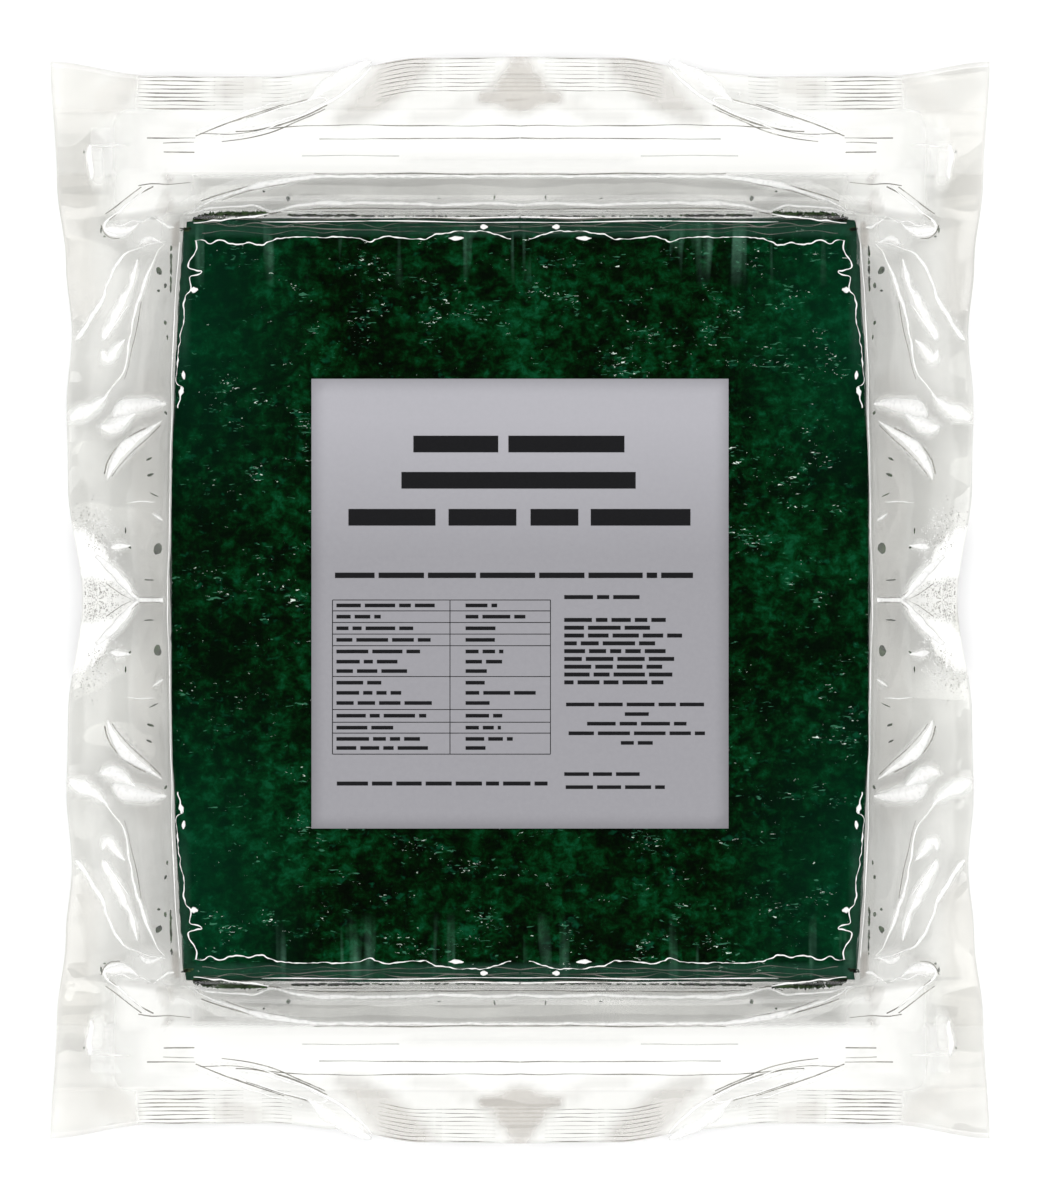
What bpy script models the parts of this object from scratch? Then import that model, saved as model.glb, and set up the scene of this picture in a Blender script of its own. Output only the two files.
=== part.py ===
"""A sealed clear pouch with a stack of one hundred nori sheets and a plain paper label.

The pack lies on its back. Its origin is the centre of its footprint on the table,
+X runs across the pouch, +Y towards the head of the label and +Z up through the sheets.
"""

import math
import random

import bmesh
import bpy
from mathutils import Vector

MM = 0.001

# Sheets: the trade size of a whole sheet, and how high one hundred of them stand. The width
# is their mean: the long sides stand out at mid length, by the barrel more than at the corners.
SHEET_WIDTH = 190 * MM
SHEET_LENGTH = 210 * MM
SHEET_BARREL = 3.6 * MM
SHEET_PITCH = 0.28 * MM
SHEETS_PER_TEN = 10
SHEET_COUNT = 100
SHEET_CORNER = 2.5 * MM
EDGE_WANDER = 0.35 * MM
SHEET_SHIFT = 0.6 * MM
SIDE_PARTS = 4
SOLID_SHARE = 0.75
RIM_WIDTH = 5 * MM
RIM_SQUEEZE = 0.06

# Film: thicker than the real 0.1 mm, so that it stands as a solid.
FILM = 0.4 * MM
GAP = 0.3 * MM

# Press-lock strip near each end of the pouch, measured from the pouch's middle.
LOCK_INNER = 118.5 * MM
LOCK_OUTER = 132.5 * MM
LOCK_HALF_SPAN = 121 * MM
LOCK_MIDDLE_HEIGHT = 5 * MM
LOCK_TAPE = 0.5 * MM
LOCK_RIB_HEIGHT = 1.1 * MM
LOCK_CLEAR = 1.4 * MM
LOCK_RIB_Y = 130.7 * MM
LOCK_RIB_HALF = 0.5 * MM
LOCK_CHANNEL_RIB = 0.8 * MM
LOCK_CHANNEL_HALF = 1.0 * MM
SEAL_INNER = 136.5 * MM

# Pouch outline: half its width at each distance from the middle, and half its length.
HALF_WIDTHS = [
    (0, 123.2 * MM),
    (33 * MM, 127.5 * MM),
    (55 * MM, 127.8 * MM),
    (75 * MM, 126.2 * MM),
    (95 * MM, 128.0 * MM),
    (118 * MM, 130.6 * MM),
    (153 * MM, 132.4 * MM),
]
HALF_LENGTHS = [
    (0, 153.2 * MM),
    (28 * MM, 153.0 * MM),
    (52 * MM, 149.4 * MM),
    (70 * MM, 147.8 * MM),
    (104 * MM, 147.9 * MM),
    (133 * MM, 151.8 * MM),
]

# Label
LABEL_WIDTH = 115 * MM
LABEL_LENGTH = 124 * MM
LABEL_CENTRE = Vector((0, -1 * MM, 0))
LABEL_PAPER = 0.3 * MM

# The rim of the pouch is not flat: low waves run along its ends and its sides.
END_WAVE = {"height": 0.9 * MM, "length": 19 * MM, "sag": 1.1 * MM, "run": 18 * MM}
SIDE_WAVE = {"height": 0.8 * MM, "length": 12 * MM, "lift": 0.6 * MM, "run": 30 * MM}
SIDE_WAVE_END = 95 * MM
SIDE_WAVE_FADE = 20 * MM
LOCK_OPENING = 112 * MM
LOCK_OPENING_RUN = 6 * MM
LOCK_CLOSING_RUN = 4 * MM

# How the films fall from the stack to the rim: 1 is a straight slope, more hangs below it.
FRONT_FALL = {"side": 1.25, "end": 1.15}
BACK_FALL = {"side": 1.5, "end": 1.5}

# Lines of the film's grid from the middle out, between those that its shape fixes.
GRID_MIDDLE_X = 45 * MM
GRID_SIDE_SHARES = [0.15, 0.35, 0.6, 0.8, 1.0]
GRID_MIDDLE_Y = [32 * MM, 65 * MM]
GRID_END_Y = [109 * MM, 113 * MM]
GRID_SEAL_SHARES = [0.5, 1.0]

# Heights that follow from the sizes above.
STACK_BASE = FILM + GAP
STACK_TOP = STACK_BASE + SHEET_COUNT * SHEET_PITCH
FILM_TOP = STACK_TOP + GAP
LOCK_SPREAD = LOCK_CLEAR / 2 + LOCK_TAPE + GAP

# The sheets do not lie quite square, so each may stray out by this much. The films bend down
# from the shoulder, inside the rim of the stack, and leave the stack beyond the furthest sheet.
STRAY = SHEET_SHIFT + EDGE_WANDER
REACH_Y = SHEET_LENGTH / 2 + STRAY + GAP
SHOULDER_RUN = RIM_WIDTH + GAP


def clear_scene():
    for thing in list(bpy.data.objects):
        bpy.data.objects.remove(thing, do_unlink=True)


def material(name, colour, roughness, alpha=1.0):
    made = bpy.data.materials.new(name)
    made.use_nodes = True
    shader = made.node_tree.nodes["Principled BSDF"]
    shader.inputs["Base Color"].default_value = (*colour, 1)
    shader.inputs["Roughness"].default_value = roughness
    shader.inputs["Metallic"].default_value = 0
    shader.inputs["Alpha"].default_value = alpha
    return made


def place(name, mesh, look):
    thing = bpy.data.objects.new(name, mesh)
    thing.data.materials.append(look)
    bpy.context.scene.collection.objects.link(thing)
    return thing


def mesh_from(bm, name):
    bmesh.ops.recalc_face_normals(bm, faces=bm.faces)
    mesh = bpy.data.meshes.new(name)
    bm.to_mesh(mesh)
    bm.free()
    return mesh


def ease(t):
    """Smooth step from 0 to 1."""
    t = min(max(t, 0.0), 1.0)
    return t * t * (3 - 2 * t)


def along(points, at):
    """Reads a smooth line through (distance, value) points."""
    at = abs(at)
    for (start, low), (end, high) in zip(points, points[1:]):
        if at <= end:
            return low + (high - low) * ease((at - start) / (end - start))
    return points[-1][1]


def side_line(y):
    """Half the width of the stack at y."""
    share = min(abs(y) / (SHEET_LENGTH / 2), 1.0)
    return SHEET_WIDTH / 2 + SHEET_BARREL * (1 / 3 - share ** 2)


def reach_x(y):
    """Where the films leave the stack, beyond the furthest sheet."""
    return side_line(y) + STRAY + GAP


def edge_line(inset):
    """The even line of a sheet's edge, going round, moved in by inset. Each point has its way out."""
    half_x, half_y = SHEET_WIDTH / 2 - inset, SHEET_LENGTH / 2 - inset
    corners = [(half_x, -half_y), (half_x, half_y), (-half_x, half_y), (-half_x, -half_y)]
    points = []
    for start, end in zip(corners, corners[1:] + corners[:1]):
        start, end = Vector((*start, 0)), Vector((*end, 0))
        step = (end - start).normalized()
        out = Vector((step.y, -step.x, 0))
        first, last = start + step * SHEET_CORNER, end - step * SHEET_CORNER
        for i in range(SIDE_PARTS + 1):
            p = first.lerp(last, i / SIDE_PARTS)
            p.x *= side_line(p.y) / (SHEET_WIDTH / 2)
            points.append((p, out))
    return points


def shoulder_line():
    return [p for p, _ in edge_line(RIM_WIDTH - STRAY)]


def sheet_outline(draw):
    """One sheet's edge, a little out of place and out of true."""
    shift = Vector((draw.uniform(-1, 1), draw.uniform(-1, 1), 0)) * SHEET_SHIFT
    return [p + shift + out * draw.uniform(-1, 1) * EDGE_WANDER for p, out in edge_line(0)]


def past_shoulder(x, y):
    """How far a point lies from the shoulder, inside the rim, to the reach of the sheets, as a share."""
    short = min(reach_x(y) - abs(x), REACH_Y - abs(y))
    return min(max(1 - short / SHOULDER_RUN, 0.0), 1.0)


def pressed(x, y, height):
    """A height in the stack, lower towards its rim, where the taut film presses the sheets together."""
    return STACK_BASE + (height - STACK_BASE) * (1 - RIM_SQUEEZE * past_shoulder(x, y))


def ring(bm, outline, height):
    return [bm.verts.new((p.x, p.y, pressed(p.x, p.y, height))) for p in outline]


def slab(name, levels, look):
    """Joins rings of points, from the lowest up, and closes both ends."""
    bm = bmesh.new()
    rings = [ring(bm, outline, height) for outline, height in levels]
    for lower, upper in zip(rings, rings[1:]):
        for i, start in enumerate(lower):
            j = (i + 1) % len(lower)
            bm.faces.new((start, lower[j], upper[j], upper[i]))
    bm.faces.new(reversed(rings[0]))
    bm.faces.new(rings[-1])
    return place(name, mesh_from(bm, name), look)


def sheets(name, base, count, draw, look):
    """Sheets that lie on each other, joined in one body, with the edge of every one showing."""
    shoulder = shoulder_line()
    top = base + count * SHEET_PITCH - GAP
    pitch = (top - base) / (count - 1 + SOLID_SHARE)
    levels = [(shoulder, base)]
    for i in range(count):
        outline = sheet_outline(draw)
        levels.append((outline, base + i * pitch))
        levels.append((outline, base + (i + SOLID_SHARE) * pitch))
    levels.append((shoulder, top))
    return slab(name, levels, look)


def top_sheet(name, base, draw, look):
    """The uppermost sheet, a piece of its own, pressed down at its rim as the others are."""
    shoulder = shoulder_line()
    outline = sheet_outline(draw)
    top = base + SHEET_PITCH
    return slab(name, [(shoulder, base), (outline, base), (outline, top), (shoulder, top)], look)


def flange_height(x, y):
    """Height of the middle of the pouch's rim, where its two films meet."""
    end = END_WAVE["height"] * math.cos(abs(x) / END_WAVE["length"]) - END_WAVE["sag"]
    side = SIDE_WAVE["height"] * math.cos(abs(y) / SIDE_WAVE["length"]) + SIDE_WAVE["lift"]
    past_lock = ease((abs(y) - LOCK_OUTER) / END_WAVE["run"])
    past_sheets = ease((abs(x) - reach_x(y)) / SIDE_WAVE["run"])
    before_lock = 1 - ease((abs(y) - SIDE_WAVE_END) / SIDE_WAVE_FADE)
    return LOCK_MIDDLE_HEIGHT + end * past_lock + side * past_sheets * before_lock


def film_spread(y):
    """Half the room between the two films at the rim: closed at the seal, open for the lock."""
    opened = ease((abs(y) - LOCK_OPENING) / LOCK_OPENING_RUN)
    closed = ease((abs(y) - LOCK_OUTER) / LOCK_CLOSING_RUN)
    return GAP / 2 + (LOCK_SPREAD - GAP / 2) * (opened - closed)


def left(x, y, fall):
    """How much of its way a film still has to fall at x, y: 1 over the sheets and 0 at the rim."""
    side = (abs(x) - reach_x(y)) / (along(HALF_WIDTHS, y) - reach_x(y))
    end = (abs(y) - REACH_Y) / (LOCK_INNER - REACH_Y)
    side, end = min(max(side, 0.0), 1.0), min(max(end, 0.0), 1.0)
    return (1 - side) ** fall["side"] * (1 - end) ** fall["end"]


def front_height(x, y):
    rim = flange_height(x, y) + film_spread(y)
    return rim + (pressed(x, y, FILM_TOP) - rim) * left(x, y, FRONT_FALL)


def back_height(x, y):
    rim = flange_height(x, y) - film_spread(y)
    return rim + (FILM - rim) * left(x, y, BACK_FALL)


def line_places(inner, shares, end):
    """Places of grid lines from the middle out: fixed ones, then shares of the way to the end."""
    last = inner[-1]
    return inner + [last + (end - last) * share for share in shares]


def fold_to_corners(bm):
    """Splits each square of the grid along the diagonal that points away from the middle."""
    for method, side in (("FIXED", 1), ("ALTERNATE", -1)):
        faces = [f for f in bm.faces if len(f.verts) == 4 and mean_product(f) * side > 0]
        bmesh.ops.triangulate(bm, faces=faces, quad_method=method)


def mean_product(face):
    centre = face.calc_center_median()
    return centre.x * centre.y


def film_grid(height):
    """A grid whose lines crowd where the film bends, laid over the pouch's outline."""
    lock_lines = [LOCK_INNER - GAP, LOCK_OUTER + GAP, SEAL_INNER]
    inner_y = [0, *GRID_MIDDLE_Y, REACH_Y - SHOULDER_RUN, REACH_Y, *GRID_END_Y, *lock_lines]
    rows = len(inner_y) + len(GRID_SEAL_SHARES) - 1
    columns = len(GRID_SIDE_SHARES) + 3
    bm = bmesh.new()
    bmesh.ops.create_grid(bm, x_segments=2 * columns, y_segments=2 * rows, size=1)
    for v in bm.verts:
        column, row = round(v.co.x * columns), round(v.co.y * rows)
        y_level = line_places(inner_y, GRID_SEAL_SHARES, HALF_LENGTHS[0][1])[abs(row)]
        reach = reach_x(y_level)
        inner_x = [0, GRID_MIDDLE_X, reach - SHOULDER_RUN, reach]
        x = line_places(inner_x, GRID_SIDE_SHARES, along(HALF_WIDTHS, y_level))[abs(column)]
        y = line_places(inner_y, GRID_SEAL_SHARES, along(HALF_LENGTHS, x))[abs(row)]
        x, y = math.copysign(x, column), math.copysign(y, row)
        v.co = (x, y, height(x, y))
    fold_to_corners(bm)
    return bm


def film(name, height, outward, look):
    """One film of the pouch. Its thickness goes up where outward is 1 and down where it is -1."""
    bm = film_grid(height)
    mesh = bpy.data.meshes.new(name)
    bm.to_mesh(mesh)
    bm.free()
    thing = place(name, mesh, look)
    wall = thing.modifiers.new("film", "SOLIDIFY")
    wall.thickness = FILM
    wall.offset = outward
    wall.use_even_offset = False
    return thing


def strip(name, outline, look):
    """A strip of one profile, drawn in Y and Z, along the width of the pouch."""
    bm = bmesh.new()
    verts = [bm.verts.new((-LOCK_HALF_SPAN, y, z)) for y, z in outline]
    face = bm.faces.new(verts)
    grown = bmesh.ops.extrude_face_region(bm, geom=[face])
    moved = [g for g in grown["geom"] if isinstance(g, bmesh.types.BMVert)]
    bmesh.ops.translate(bm, verts=moved, vec=(2 * LOCK_HALF_SPAN, 0, 0))
    return place(name, mesh_from(bm, name), look)


def press_lock(end, sign, look):
    """The press-lock's halves: a tape with a rib at the front film, and one with a channel at the back."""
    middle, half = LOCK_MIDDLE_HEIGHT, LOCK_CLEAR / 2
    low, high = middle + half, middle + half + LOCK_TAPE
    rib = low - LOCK_RIB_HEIGHT
    outline = [
        (LOCK_INNER, low), (LOCK_RIB_Y - LOCK_RIB_HALF, low), (LOCK_RIB_Y - LOCK_RIB_HALF, rib),
        (LOCK_RIB_Y + LOCK_RIB_HALF, rib), (LOCK_RIB_Y + LOCK_RIB_HALF, low),
        (LOCK_OUTER, low), (LOCK_OUTER, high), (LOCK_INNER, high),
    ]
    strip(f"lock_rib_{end}", [(sign * y, z) for y, z in outline], look)
    low, high = middle - half - LOCK_TAPE, middle - half
    rib = high + LOCK_RIB_HEIGHT
    near, far = LOCK_RIB_Y - LOCK_CHANNEL_HALF, LOCK_RIB_Y + LOCK_CHANNEL_HALF
    outline = [
        (LOCK_INNER, low), (LOCK_OUTER, low), (LOCK_OUTER, high), (far + LOCK_CHANNEL_RIB, high),
        (far + LOCK_CHANNEL_RIB, rib), (far, rib), (far, high), (near, high), (near, rib),
        (near - LOCK_CHANNEL_RIB, rib), (near - LOCK_CHANNEL_RIB, high), (LOCK_INNER, high),
    ]
    strip(f"lock_channel_{end}", [(sign * y, z) for y, z in outline], look)


def label(look):
    bm = bmesh.new()
    bmesh.ops.create_cube(bm, size=1)
    bmesh.ops.scale(bm, verts=bm.verts, vec=(LABEL_WIDTH, LABEL_LENGTH, LABEL_PAPER))
    base = FILM_TOP + FILM + GAP
    bmesh.ops.translate(bm, verts=bm.verts, vec=LABEL_CENTRE + Vector((0, 0, base + LABEL_PAPER / 2)))
    return place("label", mesh_from(bm, "label"), look)


def build():
    clear_scene()
    nori = material("nori", (0.006, 0.035, 0.014), 0.55)
    clear_film = material("clear_film", (0.85, 0.86, 0.85), 0.08, alpha=0.25)
    lock_plastic = material("lock_plastic", (0.88, 0.89, 0.89), 0.15, alpha=0.5)
    paper = material("label_paper", (0.45, 0.45, 0.48), 0.6)
    draw = random.Random(11)
    top_base = STACK_TOP - SHEET_PITCH
    for i in range(SHEET_COUNT // SHEETS_PER_TEN):
        base = STACK_BASE + i * SHEETS_PER_TEN * SHEET_PITCH
        count = min(SHEETS_PER_TEN, round((top_base - base) / SHEET_PITCH))
        sheets(f"nori_sheets_{i + 1:02d}", base, count, draw, nori)
    top_sheet("nori_sheet_top", top_base, draw, nori)
    film("film_front", front_height, 1, clear_film)
    film("film_back", back_height, -1, clear_film)
    press_lock("head", 1, lock_plastic)
    press_lock("foot", -1, lock_plastic)
    label(paper)


build()
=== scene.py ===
import math
import random

import bmesh
import bpy
import numpy as np
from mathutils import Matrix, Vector, noise


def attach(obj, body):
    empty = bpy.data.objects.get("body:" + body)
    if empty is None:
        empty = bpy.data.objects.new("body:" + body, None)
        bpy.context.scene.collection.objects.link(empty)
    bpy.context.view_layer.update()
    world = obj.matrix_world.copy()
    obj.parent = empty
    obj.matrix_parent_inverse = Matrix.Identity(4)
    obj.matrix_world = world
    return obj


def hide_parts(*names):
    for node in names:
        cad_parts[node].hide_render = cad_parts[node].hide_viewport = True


# Looks of a clear pouch of nori sheets. Metres, +Z up, the pack lies on its back with its label up.
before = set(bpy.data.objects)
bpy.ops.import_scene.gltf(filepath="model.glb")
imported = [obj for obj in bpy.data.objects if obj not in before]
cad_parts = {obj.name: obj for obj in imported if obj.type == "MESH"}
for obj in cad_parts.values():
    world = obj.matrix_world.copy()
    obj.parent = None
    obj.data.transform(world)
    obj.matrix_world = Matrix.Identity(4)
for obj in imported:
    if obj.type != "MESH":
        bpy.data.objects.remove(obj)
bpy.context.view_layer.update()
mm = 0.001


# small helpers
def linear(hexText, alpha=1.0):
    # sRGB hex to the linear values that shaders take
    parts = [int(hexText[i:i + 2], 16) / 255 for i in (1, 3, 5)]
    return (*[c / 12.92 if c <= 0.04045 else ((c + 0.055) / 1.055) ** 2.4 for c in parts], alpha)


def addNode(tree, kind, inputs=None, **settings):
    # an input that is a node is linked by the first of its outputs in use
    made = tree.nodes.new("ShaderNode" + kind)
    for name, value in settings.items():
        setattr(made, name, value)
    for name, value in (inputs or {}).items():
        if isinstance(value, bpy.types.Node):
            value = next(socket for socket in value.outputs if socket.enabled)
        if isinstance(value, bpy.types.NodeSocket):
            tree.links.new(value, made.inputs[name])
        else:
            made.inputs[name].default_value = value
    return made


def setTones(ramp, tones):
    # the colours along a ramp: position and sRGB hex each
    while len(ramp.elements) < len(tones):
        ramp.elements.new(0.5)
    for element, (position, colour) in zip(ramp.elements, tones):
        element.position = position
        element.color = linear(colour)


def newMaterial(name):
    made = bpy.data.materials.new(name)
    made.use_nodes = True
    made.node_tree.nodes.clear()
    return made, made.node_tree


def addPiece(bm, name, material, replaced=(), smooth=True):
    mesh = bpy.data.meshes.new(name)
    bm.to_mesh(mesh)
    bm.free()
    if smooth:
        mesh.shade_smooth()
    piece = bpy.data.objects.new(name, mesh)
    bpy.context.scene.collection.objects.link(piece)
    mesh.materials.append(material)
    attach(piece, "root")
    if replaced:
        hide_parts(*replaced)
    return piece


def thicken(piece, name, thickness, offset):
    wall = piece.modifiers.new(name, "SOLIDIFY")
    wall.thickness = thickness * mm
    wall.offset = offset


def extrude(bm, faces, by, keep=True):
    grown = bmesh.ops.extrude_face_region(bm, geom=faces, use_keep_orig=keep)
    moved = [g for g in grown["geom"] if isinstance(g, bmesh.types.BMVert)]
    bmesh.ops.translate(bm, verts=moved, vec=by)


def ease(t):
    t = np.clip(t, 0.0, 1.0)
    return t * t * (3 - 2 * t)


def rising(at, start, over):
    # from 0 at the start to 1, over so many millimetres
    return ease((at - start) / over)


def along(points, at):
    # a smooth line through (distance, value) points
    places, values = [p[0] for p in points], [p[1] for p in points]
    at = np.abs(at)
    i = np.clip(np.searchsorted(places, at, side="right") - 1, 0, len(points) - 2)
    low, high = np.take(places, i), np.take(places, i + 1)
    start, end = np.take(values, i), np.take(values, i + 1)
    return start + (end - start) * ease((at - low) / (high - low))


# sizes, in millimetres from the middle of the pouch
stack = {
    "width": 190, "length": 210, "barrel": 3.6, "base": 0.7, "pitch": 0.28, "count": 100,
    "stray": 0.95, "rim": 5, "squeeze": 0.06,
}
pouch = {
    "halfWidths": [
        (0, 123.2), (33, 127.5), (55, 127.8), (75, 126.2), (95, 128.0), (118, 130.6), (154, 132.4)],
    "halfLengths": [(0, 153.2), (28, 153.0), (52, 149.4), (70, 147.8), (104, 147.9), (133, 151.8)],
    "film": 0.08, "gap": 0.3, "lockInner": 118.5, "lockOuter": 132.5, "lockHeight": 5.0, "lockBottom": 3.7,
    "halfSeam": 0.2, "slack": 0.15,
}
stackTop = stack["base"] + stack["count"] * stack["pitch"]
reachY = stack["length"] / 2 + stack["stray"] + pouch["gap"]


def sideLine(v):
    # half the stack's width: its long sides stand out a little at mid length
    share = np.minimum(np.abs(v) / (stack["length"] / 2), 1.0)
    return stack["width"] / 2 + stack["barrel"] * (1 / 3 - share ** 2)


def reachX(v):
    return sideLine(v) + stack["stray"] + pouch["gap"]


def pressed(u, v, height):
    # the taut film presses the stack's rim down a little
    short = np.minimum(reachX(v) - u, reachY - v)
    past = np.clip(1 - short / (stack["rim"] + pouch["gap"]), 0, 1)
    return stack["base"] + (height - stack["base"]) * (1 - stack["squeeze"] * past)


# materials
def shadeFilm(tree, surface):
    # film this thin leaves what lies under it as bright as the open floor, so it casts no shadow
    rays = addNode(tree, "LightPath")
    unshaded = addNode(tree, "BsdfTransparent", {"Color": (1, 1, 1, 1)})
    shown = addNode(tree, "MixShader", {"Fac": rays.outputs["Is Shadow Ray"], 1: surface, 2: unshaded})
    addNode(tree, "OutputMaterial", {"Surface": shown})


def makeFilm():
    # cast polypropylene film: clear and glossy, clouded white where it is hazy and where highlights are
    # painted, and greyed where shade and reflections of the dark room above are painted into it
    made, tree = newMaterial("clearCastFilm")
    facing = addNode(tree, "LayerWeight", {"Blend": 0.5})
    steep = addNode(tree, "Math", {0: facing.outputs["Facing"], 1: 7.0}, operation="POWER")
    shine = addNode(tree, "MapRange", {"Value": steep, "To Min": 0.03, "To Max": 1.0})
    coords = addNode(tree, "TexCoord")
    patch = addNode(tree, "TexNoise", {"Vector": coords.outputs["Object"], "Scale": 42.0, "Detail": 3.0})
    patchShare = addNode(tree, "MapRange", {"Value": patch, "From Min": 0.36, "From Max": 0.64})
    tint = addNode(tree, "Mix", {
        "Factor": patchShare, "A": linear("#f8f8f7"), "B": linear("#fcfcfb")}, data_type="RGBA")
    # painted shade: a greyer tint where shade and reflections of the dark room above are painted into the
    # film
    paintedShade = addNode(tree, "Attribute", attribute_name="paintedShade")
    paintedShadeTint = addNode(tree, "Mix", {
        "Factor": paintedShade.outputs["Fac"], "A": tint, "B": linear("#e3dfdb")}, data_type="RGBA")
    clear = addNode(tree, "BsdfTransparent", {"Color": paintedShadeTint})
    gloss = addNode(tree, "BsdfAnisotropic", {"Color": (1, 1, 1, 1), "Roughness": 0.0})
    mixed = addNode(tree, "MixShader", {"Fac": shine, 1: clear, 2: gloss})
    # white where the film is hazy, with painted highlight, painted light and painted reflection in the same
    # white
    cloud = addNode(tree, "Attribute", attribute_name="cloud")
    white = addNode(tree, "BsdfDiffuse", {"Color": linear("#fcfcf9")})
    whiteHazeAndPaintedLight = addNode(tree, "MixShader", {"Fac": cloud.outputs["Fac"], 1: mixed, 2: white})
    shadeFilm(tree, whiteHazeAndPaintedLight)
    return made


def makePaintedHighlight(name, blur):
    # painted highlight on the same film where it is creased or strained: white, thinner towards the
    # crease's edges
    made, tree = newMaterial(name)
    coords = addNode(tree, "TexCoord")
    fine = addNode(tree, "TexNoise", {"Vector": coords.outputs["Object"], "Scale": 700.0, "Detail": 2.0})
    amount = addNode(tree, "MapRange", {
        "Value": fine, "From Min": 0.3, "From Max": 0.5, "To Min": 0.75, "To Max": 0.97})
    split = addNode(tree, "SeparateXYZ", {0: coords.outputs["UV"]})
    turn = addNode(tree, "Math", {0: split.outputs["Y"], 1: 2 * math.pi}, operation="MULTIPLY")
    sideways = addNode(tree, "Math", {0: turn}, operation="COSINE")
    square = addNode(tree, "Math", {0: sideways, 1: sideways}, operation="MULTIPLY")
    middle = addNode(tree, "MapRange", {"Value": square, "To Min": 1.0, "To Max": 1.0 - blur})
    share = addNode(tree, "Math", {0: amount, 1: middle}, operation="MULTIPLY")
    clear = addNode(tree, "BsdfTransparent", {"Color": (1, 1, 1, 1)})
    white = addNode(tree, "BsdfDiffuse", {"Color": linear("#fcfcfa")})
    mixed = addNode(tree, "MixShader", {"Fac": share, 1: clear, 2: white})
    shadeFilm(tree, mixed)
    return made


def makePaintedShadeLines():
    # painted shade on the same film along a sharp fold, where it stands edge on: a thin grey line
    made, tree = newMaterial("clearCastFilmPaintedShadeLines")
    coords = addNode(tree, "TexCoord")
    fine = addNode(tree, "TexNoise", {"Vector": coords.outputs["Object"], "Scale": 150.0, "Detail": 2.0})
    amount = addNode(tree, "MapRange", {
        "Value": fine, "From Min": 0.35, "From Max": 0.65, "To Min": 0.1, "To Max": 0.6})
    clear = addNode(tree, "BsdfTransparent", {"Color": linear("#e4e3df")})
    paintedShade = addNode(tree, "BsdfDiffuse", {"Color": linear("#7f7d78")})
    mixed = addNode(tree, "MixShader", {"Fac": amount, 1: clear, 2: paintedShade})
    shadeFilm(tree, mixed)
    return made


def makeLock():
    # extruded polyethylene strip: nearly clear, a little cloudier than the film
    made, tree = newMaterial("clearExtrudedStrip")
    facing = addNode(tree, "LayerWeight", {"Blend": 0.5})
    steep = addNode(tree, "Math", {0: facing.outputs["Facing"], 1: 4.0}, operation="POWER")
    shine = addNode(tree, "MapRange", {"Value": steep, "To Min": 0.05, "To Max": 1.0})
    clear = addNode(tree, "BsdfTransparent", {"Color": linear("#fcfcfc")})
    gloss = addNode(tree, "BsdfAnisotropic", {"Color": (1, 1, 1, 1), "Roughness": 0.12})
    haze = addNode(tree, "BsdfDiffuse", {"Color": linear("#fafafa")})
    milky = addNode(tree, "MixShader", {"Fac": 0.03, 1: clear, 2: haze})
    mixed = addNode(tree, "MixShader", {"Fac": shine, 1: milky, 2: gloss})
    shadeFilm(tree, mixed)
    return made


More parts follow.
